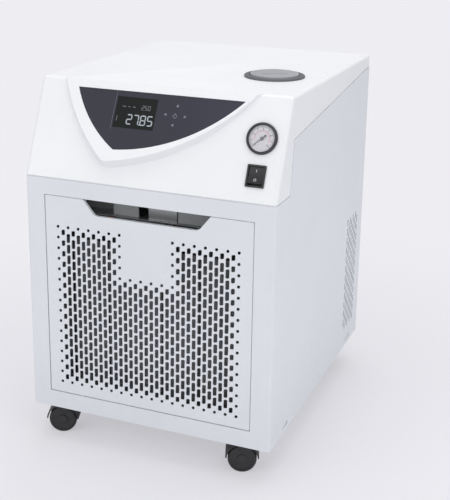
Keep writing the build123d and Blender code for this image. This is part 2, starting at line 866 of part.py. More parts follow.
# Reservoir: a welded tank with its filling neck under the collar
neck_top_z = top_z - collar_ledge_drop - seat_gap
with BuildPart() as reservoir:
    with BuildSketch(Plane.XY.offset(tank_low_z)):
        with Locations((tank_x, tank_y)):
            RectangleRounded(tank_w, tank_d, 4 * tank_wall)
    extrude(amount=tank_h)
    with BuildSketch(Plane.XY.offset(tank_low_z)):
        with Locations((filler_x, filler_y)):
            RegularPolygon(neck_r, drum_sides)
    extrude(amount=neck_top_z - tank_low_z)
    with BuildSketch(Plane.XY.offset(tank_low_z + tank_wall)):
        with Locations((tank_x, tank_y)):
            RectangleRounded(tank_w - 2 * tank_wall, tank_d - 2 * tank_wall, 3 * tank_wall)
    extrude(amount=tank_h - 2 * tank_wall, mode=Mode.SUBTRACT)
    with BuildSketch(Plane.XY.offset(tank_low_z + tank_h / 2)):
        with Locations((filler_x, filler_y)):
            Circle(neck_r - neck_wall)
    extrude(amount=neck_top_z - tank_low_z, mode=Mode.SUBTRACT)
save(reservoir.part, "reservoir")

# Heat exchanger and control box on the deck
with BuildPart() as heat_exchanger:
    with BuildSketch(Plane.XY.offset(deck_top_z)):
        with Locations((exchanger_x, exchanger_y)):
            Rectangle(exchanger_w, exchanger_d)
    extrude(amount=exchanger_h)
    chamfer(heat_exchanger.edges().filter_by(Axis.Z), 2 * hood_t)
save(heat_exchanger.part, "heat_exchanger")

control_box_y = front_y + control_box_back + control_box_d / 2
with BuildPart() as control_box:
    with BuildSketch(Plane.XY.offset(deck_top_z)):
        with Locations((control_box_x, control_box_y)):
            Rectangle(control_box_w, control_box_d)
    extrude(amount=control_box_h)
    chamfer(control_box.edges().group_by(Axis.Z)[-1], hood_t)
save(control_box.part, "control_box")


# Pipes and hoses: each is straight runs joined by one easy bend
def save_pipe(name, radius, bend_r, points):
    """A round pipe along a bent line, written as one piece."""
    with BuildPart() as pipe:
        with BuildLine() as route:
            FilletPolyline(*points, radius=bend_r)
        with BuildSketch(Plane(origin=route.wire() @ 0, z_dir=route.wire() % 0)):
            RegularPolygon(radius, pipe_sides)
        sweep()
    save(pipe.part, name)


save_pipe(
    "suction_hose",
    hose_r,
    4 * hose_r,
    [
        (pump_x, hose_y, deck_top_z),
        (pump_x, hose_y, pump_z),
        (pump_x, pump_y, pump_z),
    ],
)
save_pipe(
    "outlet_hose",
    hose_r,
    4 * hose_r,
    [
        (pump_x, volute_mid_y, pump_z + volute_r + hose_stub),
        (pump_x, volute_mid_y, port_z),
        (pump_x, rear_y - port_flange_d, port_z),
    ],
)
header_x = -(condenser_w + header_w) / 2
discharge_z = condenser_mid_z + condenser_h / 2 - 4 * copper_r
save_pipe(
    "discharge_line",
    copper_r,
    5 * copper_r,
    [
        (compressor_x, compressor_y, grommet_top_z + compressor_h),
        (compressor_x, compressor_y, discharge_z),
        (header_x, compressor_y, discharge_z),
        (header_x, shroud_y, discharge_z),
    ],
)

# Control panel: the dark foil, its display window and the display behind it
with BuildPart() as control_panel:
    with BuildSketch(pod_sketch_plane(s=pod_low_s, n=-panel_t)):
        make_face(panel_line)
        offset(amount=-panel_gap)
        with Locations((window_x, window_s - pod_low_s)):
            Rectangle(window_w, window_h, mode=Mode.SUBTRACT)
    extrude(amount=panel_t)
save(control_panel.part, "control_panel")

with BuildPart() as display_window:
    with BuildSketch(pod_sketch_plane(window_x, window_s, -panel_t)):
        Rectangle(window_w - 2 * panel_gap, window_h - 2 * panel_gap)
    extrude(amount=panel_t)
save(display_window.part, "display_window")

with BuildPart() as display_module:
    with BuildSketch(pod_sketch_plane(window_x, window_s, -hood_t)):
        Rectangle(window_w, window_h)
    extrude(amount=-module_d)
save(display_module.part, "display_module")

# Pressure gauge: case with its bezel, dial, needle and lens
dial_n = gauge_bezel_t - gauge_dial_depth
lens_n = gauge_bezel_t - lens_t
needle_n = (dial_n + lens_n - needle_t) / 2
with BuildPart() as gauge_case:
    with BuildSketch(on_fascia(gauge_x, gauge_s, -gauge_case_d)):
        RegularPolygon(gauge_case_r, rim_sides)
    extrude(amount=gauge_case_d)
    with BuildSketch(on_fascia(gauge_x, gauge_s)):
        Circle(gauge_bezel_r)
    extrude(amount=gauge_bezel_t)
    with BuildSketch(on_fascia(gauge_x, gauge_s, dial_n - gauge_dial_t)):
        RegularPolygon(gauge_dial_r, rim_sides, major_radius=False)
    extrude(amount=gauge_bezel_t, mode=Mode.SUBTRACT)
save(gauge_case.part, "gauge_case")

with BuildPart() as gauge_dial:
    with BuildSketch(on_fascia(gauge_x, gauge_s, dial_n - gauge_dial_t)):
        RegularPolygon(gauge_dial_r - panel_gap, rim_sides)
    extrude(amount=gauge_dial_t)
save(gauge_dial.part, "gauge_dial")

with BuildPart() as gauge_lens:
    with BuildSketch(on_fascia(gauge_x, gauge_s, lens_n)):
        RegularPolygon(gauge_dial_r - panel_gap, rim_sides)
    extrude(amount=lens_t)
save(gauge_lens.part, "gauge_lens")

with BuildPart() as gauge_needle:
    with BuildSketch(on_fascia(gauge_x, gauge_s, needle_n)):
        RegularPolygon(needle_hub_r, 12)
        with Locations(Rotation(0, 0, needle_rest_deg)):
            with BuildLine():
                Polyline(
                    (-needle_tail, needle_t),
                    (-needle_tail, -needle_t),
                    (needle_r, -needle_t / 3),
                    (needle_r, needle_t / 3),
                    close=True,
                )
            make_face()
    extrude(amount=needle_t)
save(gauge_needle.part, "gauge_needle")

# Rocker switch: a snap-in frame and the rocker on its pins
rocker_w = switch_w - 2 * switch_rim - 2 * seat_gap
rocker_h = switch_h - 2 * switch_rim - 2 * seat_gap
with BuildPart() as switch_frame:
    with BuildSketch(on_fascia(switch_x, switch_s)):
        RectangleRounded(switch_w, switch_h, switch_rim / 2)
    extrude(amount=switch_proud)
    with BuildSketch(on_fascia(switch_x, switch_s, -switch_body_d)):
        Rectangle(switch_w - switch_rim, switch_h - switch_rim)
    extrude(amount=switch_body_d)
    with BuildSketch(on_fascia(switch_x, switch_s, -2 * rocker_pin_depth)):
        Rectangle(switch_w - 2 * switch_rim, switch_h - 2 * switch_rim)
    extrude(amount=switch_body_d, mode=Mode.SUBTRACT)
save(switch_frame.part, "switch_frame")

rocker_plane = Plane(
    origin=fascia_plane.from_local_coords((switch_x, switch_s, -rocker_pin_depth)),
    x_dir=(1, 0, 0),
    z_dir=(0, -cos(fascia_tilt + rocker_tilt), sin(fascia_tilt + rocker_tilt)),
)
rocker_reach = rocker_pin_depth + switch_proud
with BuildPart() as switch_rocker:
    with BuildSketch(
        Plane(
            origin=rocker_plane.from_local_coords((-rocker_w / 2, 0, 0)),
            x_dir=rocker_plane.y_dir,
            z_dir=rocker_plane.x_dir,
        )
    ):
        with BuildLine():
            Line((-rocker_h * rocker_fit / 2, rocker_reach), (0, rocker_reach - rocker_dip))
            Line((0, rocker_reach - rocker_dip), (rocker_h * rocker_fit / 2, rocker_reach))
            Line((rocker_h * rocker_fit / 2, rocker_reach), (rocker_foot, -rocker_pin_r))
            Line((rocker_foot, -rocker_pin_r), (-rocker_foot, -rocker_pin_r))
            Line((-rocker_foot, -rocker_pin_r), (-rocker_h * rocker_fit / 2, rocker_reach))
        make_face()
        Circle(rocker_journal_r)
    extrude(amount=rocker_w)
save(switch_rocker.part, "switch_rocker")

# Filler: collar in the hood's top and the lid that lifts out of it
ledge_z = top_z - collar_ledge_drop
collar_bores = (
    (top_z - collar_skirt_d, ledge_z, collar_bore_r),
    (ledge_z, ledge_z + collar_ledge_t, neck_r - neck_wall),
    (ledge_z + collar_ledge_t, top_z + collar_proud, collar_bore_r),
)
with BuildPart() as filler_collar:
    with BuildSketch(Plane.XY.offset(top_z)):
        with Locations((filler_x, filler_y)):
            RegularPolygon(collar_r, rim_sides)
    extrude(amount=collar_proud)
    with BuildSketch(Plane.XY.offset(top_z - collar_skirt_d)):
        with Locations((filler_x, filler_y)):
            RegularPolygon(collar_bore_r + collar_wall, rim_sides)
    extrude(amount=collar_skirt_d)
    for low_z, high_z, bore_r in collar_bores:
        with BuildSketch(Plane.XY.offset(low_z)):
            with Locations((filler_x, filler_y)):
                RegularPolygon(bore_r, rim_sides, major_radius=False)
        extrude(amount=high_z - low_z, mode=Mode.SUBTRACT)
save(filler_collar.part, "filler_collar")

cap_low_z = top_z - collar_ledge_drop + collar_ledge_t + seat_gap
with BuildPart() as filler_cap:
    with BuildSketch(Plane.XY.offset(cap_low_z)):
        with Locations((filler_x, filler_y)):
            RegularPolygon(cap_r, rim_sides)
    extrude(amount=top_z + cap_proud - cap_low_z)
    chamfer(filler_cap.edges().group_by(Axis.Z)[-1], cap_edge)
save(filler_cap.part, "filler_cap")

# Rear fittings: two threaded water ports, drain valve with its lever, mains inlet
port_face_y = rear_y
for name, x in port_places.items():
    with BuildPart() as port:
        with BuildSketch(Plane.XZ.offset(-port_face_y)):
            with Locations((x, port_z)):
                RegularPolygon(port_flange_r, 6)
        extrude(amount=-port_flange_t)
        with BuildSketch(Plane.XZ.offset(-(rear_y - port_flange_d))):
            with Locations((x, port_z)):
                Circle(port_thread_r)
        extrude(amount=-(port_flange_d + port_flange_t + port_thread_l))
        with BuildSketch(Plane.XZ.offset(-(rear_y + port_flange_t + port_thread_l))):
            with Locations((x, port_z)):
                RegularPolygon(port_bore_r, pipe_sides)
        extrude(amount=port_bore_d, mode=Mode.SUBTRACT)
    save(port.part, name)

lever_y = rear_y + lever_stem
with BuildPart() as drain_valve:
    with BuildSketch(Plane.XZ.offset(-(rear_y - port_flange_d))):
        with Locations((drain_x, drain_z)):
            RegularPolygon(drain_body_r, pipe_sides)
    extrude(amount=-(port_flange_d + port_reach))
    with BuildSketch(Plane.XY.offset(drain_z)):
        with Locations((drain_x, lever_y)):
            RegularPolygon(drain_spout_r, pipe_sides)
    extrude(amount=drain_body_r + lever_gap)
save(drain_valve.part, "drain_valve")

lever_z = drain_z + drain_body_r + lever_gap
with BuildPart() as drain_lever:
    with BuildSketch(Plane.XY.offset(lever_z + seat_gap)):
        with Locations((drain_x, lever_y)):
            Circle(lever_w / 2)
            Rectangle(lever_l, lever_w, align=(Align.MIN, Align.CENTER))
    extrude(amount=lever_t)
    fillet(drain_lever.edges().filter_by(Axis.Z).group_by(Axis.X)[-1], lever_w / 3)
save(drain_lever.part, "drain_lever")

with BuildPart() as mains_inlet:
    with BuildSketch(Plane.XZ.offset(-rear_y)):
        with Locations((inlet_x, inlet_z)):
            Rectangle(inlet_w + 2 * inlet_flange, inlet_h + 2 * inlet_flange_t)
    extrude(amount=-inlet_flange_t)
    with BuildSketch(Plane.XZ.offset(-(rear_y - inlet_d))):
        with Locations((inlet_x, inlet_z)):
            Rectangle(inlet_w, inlet_h)
    extrude(amount=-inlet_d)
    with BuildSketch(Plane.XZ.offset(-(rear_y + inlet_flange_t))):
        with Locations((inlet_x, inlet_z)):
            Rectangle(inlet_w - 2 * inlet_wall, inlet_h - 2 * inlet_wall)
    extrude(amount=inlet_d, mode=Mode.SUBTRACT)
    with BuildSketch(Plane.XZ.offset(-(rear_y - inlet_d + inlet_wall))):
        with Locations((inlet_x, inlet_z)):
            with GridLocations(inlet_pin_pitch, 1, 3, 1):
                Rectangle(inlet_pin_w, inlet_pin_h)
    extrude(amount=-inlet_pin_l)
save(mains_inlet.part, "mains_inlet")

# Castors: plate, swivelling housing and a pair of wheels on one axle
castor_y = {"f": front_y + castor_inset_front, "r": rear_y - castor_inset_rear}
castor_x = {"l": -side_x + castor_inset_x, "r": side_x - castor_inset_x}
race_z = cab_z - castor_plate_t
crown_z = race_z - castor_race_t
for corner, turn in castor_turn_deg.items():
    centre = (castor_x[corner[1]], castor_y[corner[0]])
    heading = (cos(radians(turn)), sin(radians(turn)), 0)
    with BuildPart() as castor_plate:
        with BuildSketch(Plane.XY.offset(race_z)):
            with Locations(centre):
                Rectangle(castor_plate_w, castor_plate_w)
        extrude(amount=castor_plate_t)
    save(castor_plate.part, f"castor_plate_{corner}")

    hub = Plane(origin=(*centre, wheel_r), x_dir=heading)
    axle = Plane(origin=hub.from_local_coords((trail, 0, 0)), x_dir=heading, z_dir=-hub.y_dir)
    cheek_w = wheel_web + 2 * (wheel_side_gap + wheel_w)
    with BuildPart() as castor_housing:
        with BuildSketch(axle.offset(-wheel_web / 2)):
            RegularPolygon(wheel_r - fender_t, drum_sides)
            with Locations((-trail / 2, (crown_z - wheel_r) / 2)):
                Rectangle(trail + castor_race_r, crown_z - wheel_r)
            Circle(axle_r + running_gap, mode=Mode.SUBTRACT)
        extrude(amount=wheel_web)
        with BuildSketch(hub.offset(wheel_gap_z)):
            with Locations((trail / 2, 0)):
                Rectangle(2 * castor_race_r + trail, cheek_w)
        extrude(amount=crown_z - wheel_r - wheel_gap_z)
        chamfer(
            castor_housing.faces().sort_by(Axis.Z)[-1].edges(),
            fender_t,
        )
        with BuildSketch(hub.offset(crown_z - wheel_r)):
            Circle(castor_race_r)
        extrude(amount=castor_race_t - seat_gap)
    save(castor_housing.part, f"castor_housing_{corner}")

    with BuildPart() as castor_wheels:
        with BuildSketch(axle.offset(-cheek_w / 2)):
            RegularPolygon(wheel_r, rim_sides)
        extrude(amount=cheek_w)
        with BuildSketch(axle.offset(-wheel_web / 2 - wheel_side_gap)):
            RegularPolygon(wheel_r, rim_sides)
            Circle(axle_r, mode=Mode.SUBTRACT)
        extrude(amount=wheel_web + 2 * wheel_side_gap, mode=Mode.SUBTRACT)
    save(castor_wheels.part, f"castor_wheels_{corner}")
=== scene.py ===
"""The recirculating chiller dressed for a photograph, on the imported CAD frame.

Lengths in this file are in metres. X runs to the right, Y to the rear and Z up from the floor.
"""

import logging
import math
from collections.abc import Callable, Iterable, Iterator
from contextlib import contextmanager
from dataclasses import dataclass, field
from enum import Enum

import bpy
from mathutils import Matrix, Vector


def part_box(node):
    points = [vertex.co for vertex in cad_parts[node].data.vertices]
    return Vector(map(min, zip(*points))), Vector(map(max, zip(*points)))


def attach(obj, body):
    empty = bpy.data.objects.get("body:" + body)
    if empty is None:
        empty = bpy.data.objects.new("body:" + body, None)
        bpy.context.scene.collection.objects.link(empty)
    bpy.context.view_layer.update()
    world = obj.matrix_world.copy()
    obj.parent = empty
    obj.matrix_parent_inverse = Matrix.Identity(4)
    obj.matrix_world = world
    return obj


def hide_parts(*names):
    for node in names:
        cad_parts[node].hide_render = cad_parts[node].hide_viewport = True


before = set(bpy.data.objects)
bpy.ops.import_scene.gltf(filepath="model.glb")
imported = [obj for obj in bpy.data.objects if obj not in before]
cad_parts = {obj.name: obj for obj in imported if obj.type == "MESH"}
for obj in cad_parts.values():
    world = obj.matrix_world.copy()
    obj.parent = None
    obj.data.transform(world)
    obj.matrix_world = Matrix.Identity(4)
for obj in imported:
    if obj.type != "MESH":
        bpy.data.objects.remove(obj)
bpy.ops.object.select_all(action="DESELECT")

LOG = logging.getLogger("chiller")
MM = 0.001

Colour = tuple[float, float, float]
Point = tuple[float, float, float]


def millimetres(points: Iterable[tuple[float, float]]) -> list[tuple[float, float]]:
    """Pairs given in millimetres, in this file's metres."""
    return [(first * MM, second * MM) for first, second in points]


class Body(Enum):
    """The moving bodies of the chiller, by their names in the record."""

    CABINET = "cabinet"
    GRILLE = "grille"
    LID = "lid"
    NEEDLE = "needle"
    ROCKER = "rocker"
    DRAIN = "drain_handle"

    @staticmethod
    def castor(kind: str, corner: str) -> str:
        """The body of one castor's part, such as wheels_fl."""
        return f"{kind}_{corner}"


# Shader maths


@dataclass(frozen=True)
class Term:
    """One value in a material's nodes, used like a number."""

    shade: "Shade"
    socket: bpy.types.NodeSocket

    def math(self, operation: str, *values: "Term | float") -> "Term":
        """Adds a Math node.

        Args:
            operation: the node's operation.
            values: its inputs in order.

        Returns:
            The node's result.
        """
        made = self.shade.node("ShaderNodeMath", {"operation": operation}, dict(enumerate(values)))
        return Term(self.shade, made.outputs[0])

    def __add__(self, other: "Term | float") -> "Term":
        """The sum."""
        return self.math("ADD", self, other)

    __radd__ = __add__

    def __sub__(self, other: "Term | float") -> "Term":
        """The difference."""
        return self.math("SUBTRACT", self, other)

    def __rsub__(self, other: float) -> "Term":
        """The difference from a number."""
        return self.math("SUBTRACT", other, self)

    def __mul__(self, other: "Term | float") -> "Term":
        """The product."""
        return self.math("MULTIPLY", self, other)

    __rmul__ = __mul__

    def __truediv__(self, other: "Term | float") -> "Term":
        """The quotient."""
        return self.math("DIVIDE", self, other)

    def __mod__(self, other: float) -> "Term":
        """What is left over after whole steps, never negative."""
        return self.math("FLOORED_MODULO", self, other)

    def __abs__(self) -> "Term":
        """The size without its sign."""
        return self.math("ABSOLUTE", self)

    def __or__(self, other: "Term") -> "Term":
        """The larger of two masks."""
        return self.math("MAXIMUM", self, other)

    def __and__(self, other: "Term") -> "Term":
        """The smaller of two masks."""
        return self.math("MINIMUM", self, other)

    def sine(self) -> "Term":
        """The sine of the value in radians."""
        return self.math("SINE", self)

    def angle(self, across: "Term") -> "Term":
        """The angle whose rise is this value and whose run is across."""
        return self.math("ARCTAN2", self, across)

    def root(self) -> "Term":
        """The square root."""
        return self.math("SQRT", self)

    def rise(self, low: float, high: float) -> "Term":
        """A soft step.

        Args:
            low: the value where the step starts.
            high: the value where it ends.

        Returns:
            0 before low, 1 after high.
        """
        made = self.shade.node(
            "ShaderNodeMapRange",
            {"interpolation_type": "SMOOTHSTEP"},
            {"Value": self, "From Min": low, "From Max": high},
        )
        return Term(self.shade, made.outputs[0])

    def band(self, middle: float, half: float, soft: float) -> "Term":
        """1 within half of middle, falling to 0 over soft."""
        return 1 - abs(self - middle).rise(half - soft / 2, half + soft / 2)


class Shade:
    """The nodes of one material."""

    def __init__(self, name: str) -> None:
        """Starts an empty material of that name."""
        self.material = bpy.data.materials.new(name)
        self.material.use_nodes = True
        self.tree = self.material.node_tree
        self.tree.nodes.clear()

    def node(
        self,
        kind: str,
        settings: dict[str, object] | None = None,
        sockets: dict[str | int, object] | None = None,
    ) -> bpy.types.Node:
        """Adds one node.

        Args:
            kind: the node's type.
            settings: its settings, made before its sockets are filled; "stops" sets a ramp.
            sockets: its inputs by name or number, each a value or something to link.

        Returns:
            The node.
        """
        made = self.tree.nodes.new(kind)
        for key, value in (settings or {}).items():
            setattr(made, key, value)
        for key, value in (sockets or {}).items():
            place = made.inputs[key]
            if isinstance(value, Term):
                self.tree.links.new(value.socket, place)
            elif isinstance(value, bpy.types.NodeSocket):
                self.tree.links.new(value, place)
            else:
                place.default_value = value
        return made

    def where(self) -> tuple[Term, Term, Term]:
        """The surface point's X, Y and Z."""
        split = self.node("ShaderNodeSeparateXYZ", None, {0: self.point()})
        return tuple(Term(self, split.outputs[k]) for k in range(3))

    def point(self) -> bpy.types.NodeSocket:
        """The surface point as a vector."""
        return self.node("ShaderNodeTexCoord").outputs["Object"]

    def along(self, origin: Vector, direction: Vector) -> Term:
        """How far the surface point lies from origin along a direction."""
        off = self.node(
            "ShaderNodeVectorMath", {"operation": "SUBTRACT"}, {0: self.point(), 1: tuple(origin)}
        )
        dot = self.node(
            "ShaderNodeVectorMath",
            {"operation": "DOT_PRODUCT"},
            {0: off.outputs[0], 1: tuple(direction)},
        )
        return Term(self, dot.outputs["Value"])

    def noise(self, scale: float, detail: float = 2.0, stretch: Point = (1, 1, 1)) -> Term:
        """Soft random values from 0 to 1.

        Args:
            scale: how many features fit in a metre.
            detail: how many finer layers are added.
            stretch: factors on X, Y and Z.

        Returns:
            The value.
        """
        put = self.node("ShaderNodeMapping", None, {"Vector": self.point(), "Scale": stretch})
        made = self.node(
            "ShaderNodeTexNoise",
            None,
            {"Vector": put.outputs[0], "Scale": scale, "Detail": detail},
        )
        return Term(self, made.outputs[0])

    def mix(self, factor: Term, first: object, second: object) -> bpy.types.NodeSocket:
        """A colour between two colours."""
        made = self.node("ShaderNodeMix", {"data_type": "RGBA"}, {0: factor})
        for place, value in ((made.inputs[6], first), (made.inputs[7], second)):
            if isinstance(value, bpy.types.NodeSocket):
                self.tree.links.new(value, place)
            else:
                place.default_value = (*value, 1.0)
        return made.outputs[2]

    def bump(self, height: Term, depth: float) -> bpy.types.NodeSocket:
        """A normal from a height.

        Args:
            height: a value from 0 to 1.
            depth: how deep 1 is, in metres.

        Returns:
            The normal's socket.
        """
        made = self.node("ShaderNodeBump", None, {"Distance": depth, "Height": height})
        return made.outputs[0]

    def output(self, surface: bpy.types.NodeSocket) -> None:
        """Links the finished surface."""
        self.node("ShaderNodeOutputMaterial", None, {"Surface": surface})


# Finishes


@dataclass(frozen=True)
class Finish:
    """A painted, moulded or metal surface with grain and a slow drift of tone."""

    name: str
    colour: Colour
    roughness: float = 0.5
    metallic: float = 0.0
    coat: float = 0.0
    grain: float = 900.0
    grain_depth: float = 0.02 * MM
    stretch: Point = (1.0, 1.0, 1.0)
    drift: float = 0.05
    drift_scale: float = 7.0
    rough_drift: float = 0.08
    alpha: float = 1.0
    glow: float = 0.0
    specular: float = 0.5

    def material(self) -> bpy.types.Material:
        """The finish as a material, made once."""
        title = f"{self.name}_look"
        known = bpy.data.materials.get(title)
        if known is not None:
            return known
        shade = Shade(title)
        colour = self.tint(shade)
        surface = shade.node(
            "ShaderNodeBsdfPrincipled",
            None,
            {
                "Base Color": colour,
                "Roughness": self.polish(shade),
                "Metallic": self.metallic,
                "Coat Weight": self.coat,
                "Alpha": self.alpha,
                "Emission Strength": self.glow,
                "Specular IOR Level": self.specular,
                "Normal": shade.bump(self.height(shade), self.grain_depth),
            },
        )
        if self.glow:
            shade.tree.links.new(colour, surface.inputs["Emission Color"])
        shade.output(surface.outputs[0])
        return shade.material

    def tint(self, shade: Shade) -> bpy.types.NodeSocket:
        """The surface's colour."""
        slow = shade.noise(self.drift_scale, 3.0)
        dark = tuple(c * (1 - self.drift) for c in self.colour)
        light = tuple(min(c * (1 + self.drift), 1.0) for c in self.colour)
        return shade.mix(slow.rise(0.3, 0.7), dark, light)

    def polish(self, shade: Shade) -> Term:
        """The surface's roughness."""
        return shade.noise(self.drift_scale * 3) * self.rough_drift + (
            self.roughness - self.rough_drift / 2
        )

    def height(self, shade: Shade) -> Term:
        """The grain's height from 0 to 1."""
        return shade.noise(self.grain, 2.0, self.stretch)


@dataclass(frozen=True)
class PowderCoat(Finish):
    """Sheet metal with a powder coat: a fine orange peel, greyer near the floor."""

    floor_tone: float = 0.03

    def tint(self, shade: Shade) -> bpy.types.NodeSocket:
        """The paint's colour, darker in patches towards the bottom."""
        plain = super().tint(shade)
        low = 1 - shade.where()[2].rise(0.07, 0.22)
        darker_low = tuple(c * 0.9 for c in self.colour)
        return shade.mix(low * shade.noise(40.0, 4.0) * self.floor_tone * 20, plain, darker_low)


@dataclass(frozen=True)
class Brushed(Finish):
    """Rolled or brushed metal with fine lines and darker smears."""

    smear: float = 0.25

    def tint(self, shade: Shade) -> bpy.types.NodeSocket:
        """The metal's colour."""
        plain = super().tint(shade)
        dull = tuple(c * (1 - self.smear) for c in self.colour)
        return shade.mix(shade.noise(18.0, 5.0, self.stretch).rise(0.5, 0.8), plain, dull)


@dataclass(frozen=True)
class Ribbed(Finish):
    """Metal with even ridges along one axis, such as fins or a thread, with painted shade between the ridges.
    """

    axis: int = 0
    pitch: float = 2 * MM
    # how much darker the valleys between the ridges are painted, as painted shade
    ridge: float = 0.5

    def height(self, shade: Shade) -> Term:
        """The ridges' height."""
        return (shade.where()[self.axis] * (2 * math.pi / self.pitch)).sine() * 0.5 + 0.5

    def tint(self, shade: Shade) -> bpy.types.NodeSocket:
        """The colour with painted shade: darker between the ridges, where shade falls."""
        plain = super().tint(shade)
        valley_shade = tuple(c * (1 - self.ridge) for c in self.colour)
        return shade.mix(self.height(shade).rise(0.0, 0.55), valley_shade, plain)


@dataclass(frozen=True)
class DialPrint(Finish):
    """The gauge's dial: a white face with scale marks and a pale red band."""

    centre: Vector = Vector((0, 0, 0))
    across: Vector = Vector((1, 0, 0))
    up: Vector = Vector((0, 0, 1))
    mark_colour: Colour = (0.03, 0.03, 0.035)
    band_colour: Colour = (0.62, 0.36, 0.37)
    sweep: float = math.radians(135)
    major_r: float = 17.6 * MM
    fine_r: float = 18.9 * MM
    rim_r: float = 20.2 * MM
    band_r: float = 12.6 * MM

    def tint(self, shade: Shade) -> bpy.types.NodeSocket:
        """The printed dial."""
        x = shade.along(self.centre, self.across)
        y = shade.along(self.centre, self.up)
        far = (x * x + y * y).root()
        turn = x.angle(y)
        inside = abs(turn).rise(self.sweep + 0.035, self.sweep + 0.02)
        major = self.sweep / 4
        fine = self.sweep / 20
        near_major = 1 - abs((turn + major / 2) % major - major / 2).rise(0.018, 0.03)
        near_fine = 1 - abs((turn + fine / 2) % fine - fine / 2).rise(0.009, 0.018)
        marks = near_major & far.band(self.major_r, 2.6 * MM, 0.3 * MM)
        ticks = near_fine & far.band(self.fine_r, 1.2 * MM, 0.3 * MM)
        rim = far.band(self.rim_r, 0.18 * MM, 0.15 * MM)
        printed = (marks | ticks | rim) * inside
        arc = far.band(self.band_r, 0.8 * MM, 0.3 * MM) * turn.rise(-1.7, -1.6) * (
            1 - turn.rise(1.9, 2.0)
        )
        plain = super().tint(shade)
        banded = shade.mix(arc, plain, self.band_colour)
        return shade.mix(printed, banded, self.mark_colour)


@dataclass(frozen=True)
class FoilPrint(Finish):
    """The control panel's foil: dark, with a lighter printed line near its edge."""

    origin: Vector = Vector((0, 0, 0))
    across: Vector = Vector((1, 0, 0))
    up: Vector = Vector((0, 0, 1))

    def tint(self, shade: Shade) -> bpy.types.NodeSocket:
        """The foil's colour, a little bluer and lighter towards its right tip."""
        x = shade.along(self.origin, self.across)
        plain = super().tint(shade)
        line = x.band(-76 * MM, 0.25 * MM, 0.3 * MM) * shade.along(self.origin, self.up).rise(
            88 * MM, 92 * MM
        )
        lighter = tuple(c * 1.35 for c in self.colour)
        shaded = shade.mix(x.rise(0.0, 0.15), plain, lighter)
        return shade.mix(line * 0.6, shaded, (0.30, 0.28, 0.36))


class Seats:
    """The sloping places of the hood, as the CAD has them."""

    front_y = -290 * MM
    rear_y = 260 * MM
    seam_z = 492 * MM
    top_z = 650 * MM
    tilt = math.atan2(68, 158)
    pod_low = 27 * MM
    pod_proud = 15 * MM
    pod_tilt = tilt + math.atan2(11, 145)


@dataclass(frozen=True)
class Seat:
    """A flat place: its origin and its directions across, up and out."""

    origin: Vector
    across: Vector
    up: Vector
    out: Vector

    def at(self, x: float, s: float, n: float = 0.0) -> Vector:
        """A point x across, s up and n out from the origin."""
        return self.origin + self.across * x + self.up * s + self.out * n

    def moved(self, x: float, s: float, n: float = 0.0) -> "Seat":
        """The same directions from another origin."""
        return Seat(self.at(x, s, n), self.across, self.up, self.out)

    def turned(self, angle: float) -> "Seat":
        """The seat turned about its outward direction, in radians."""
        spin = Matrix.Rotation(angle, 3, self.out)
        return Seat(self.origin, spin @ self.across, spin @ self.up, self.out)

    def matrix(self) -> Matrix:
        """The matrix that carries a flat drawing onto this seat."""
        turn = Matrix((self.across, self.up, self.out)).transposed()
        return Matrix.Translation(self.origin) @ turn.to_4x4()


def sloping(origin: Vector, tilt: float) -> Seat:
    """A seat that faces the front and leans back by tilt."""
    up = Vector((0, math.sin(tilt), math.cos(tilt)))
    return Seat(origin, Vector((1, 0, 0)), up, Vector((0, -math.cos(tilt), math.sin(tilt))))


FRONT = sloping(Vector((0, Seats.front_y, 0)), 0.0)
FASCIA = sloping(Vector((0, Seats.front_y, Seats.seam_z)), Seats.tilt)
_pod_foot = sloping(FASCIA.at(0, Seats.pod_low, Seats.pod_proud), Seats.pod_tilt)
POD = _pod_foot.moved(0, -Seats.pod_low)
TOP = Seat(Vector((0, 0, Seats.top_z)), Vector((1, 0, 0)), Vector((0, 1, 0)), Vector((0, 0, 1)))
REAR = Seat(Vector((0, Seats.rear_y, 0)), Vector((-1, 0, 0)), Vector((0, 0, 1)), Vector((0, 1, 0)))
GAUGE = FASCIA.moved(184 * MM, 102 * MM)
SWITCH = FASCIA.moved(183.5 * MM, 42 * MM)

CABINET = PowderCoat(
    "cabinet_paint", (0.775, 0.795, 0.835), 0.42, grain=1400, grain_depth=0.012 * MM, drift=0.012
)
HOOD = Finish(
    "hood_plastic", (0.875, 0.885, 0.905), 0.36, coat=0.05, grain=2200, grain_depth=0.008 * MM, drift=0.012
)
DARK_PLASTIC = Finish("dark_plastic", (0.03, 0.031, 0.034), 0.5, grain=1600, grain_depth=0.02 * MM)
STEEL = Brushed("plain_steel", (0.56, 0.57, 0.58), 0.38, 0.85, stretch=(1, 12, 1), drift=0.08)
# Painted shade: the condenser's fins are painted darker in the valleys between them.
FINS = Ribbed(
    "condenser_metal",
    (0.24, 0.235, 0.25),
    0.55,
    0.25,
    pitch=2.2 * MM,
    grain_depth=0.8 * MM,
    ridge=0.75,
)
DARK_METAL = Finish("dark_metal", (0.035, 0.036, 0.04), 0.45, 0.2, grain=700, grain_depth=0.05 * MM)
RUBBER = Finish("rubber", (0.022, 0.022, 0.023), 0.72, grain=1200, grain_depth=0.03 * MM)
PUMP_METAL = Brushed("pump_metal", (0.20, 0.23, 0.27), 0.4, 0.4, grain=500, grain_depth=0.06 * MM)
GREY_PLASTIC = Finish("grey_plastic", (0.42, 0.43, 0.44), 0.5, grain=900)
# Painted shade: the hose is painted darker in the valleys between its ribs.
HOSE = Ribbed("hose", (0.055, 0.056, 0.06), 0.55, axis=2, pitch=3 * MM, grain_depth=0.1 * MM, ridge=0.3)
COPPER = Brushed("copper", (0.72, 0.34, 0.2), 0.3, 1.0, stretch=(1, 1, 8), smear=0.35)
DISPLAY = Finish(
    "display", (0.013, 0.0145, 0.0145), 0.4, grain=300, grain_depth=0.002 * MM, specular=0.12
)
BEZEL = Brushed("bezel_metal", (0.045, 0.045, 0.05), 0.3, 0.5, grain=600, grain_depth=0.01 * MM, smear=0.1)
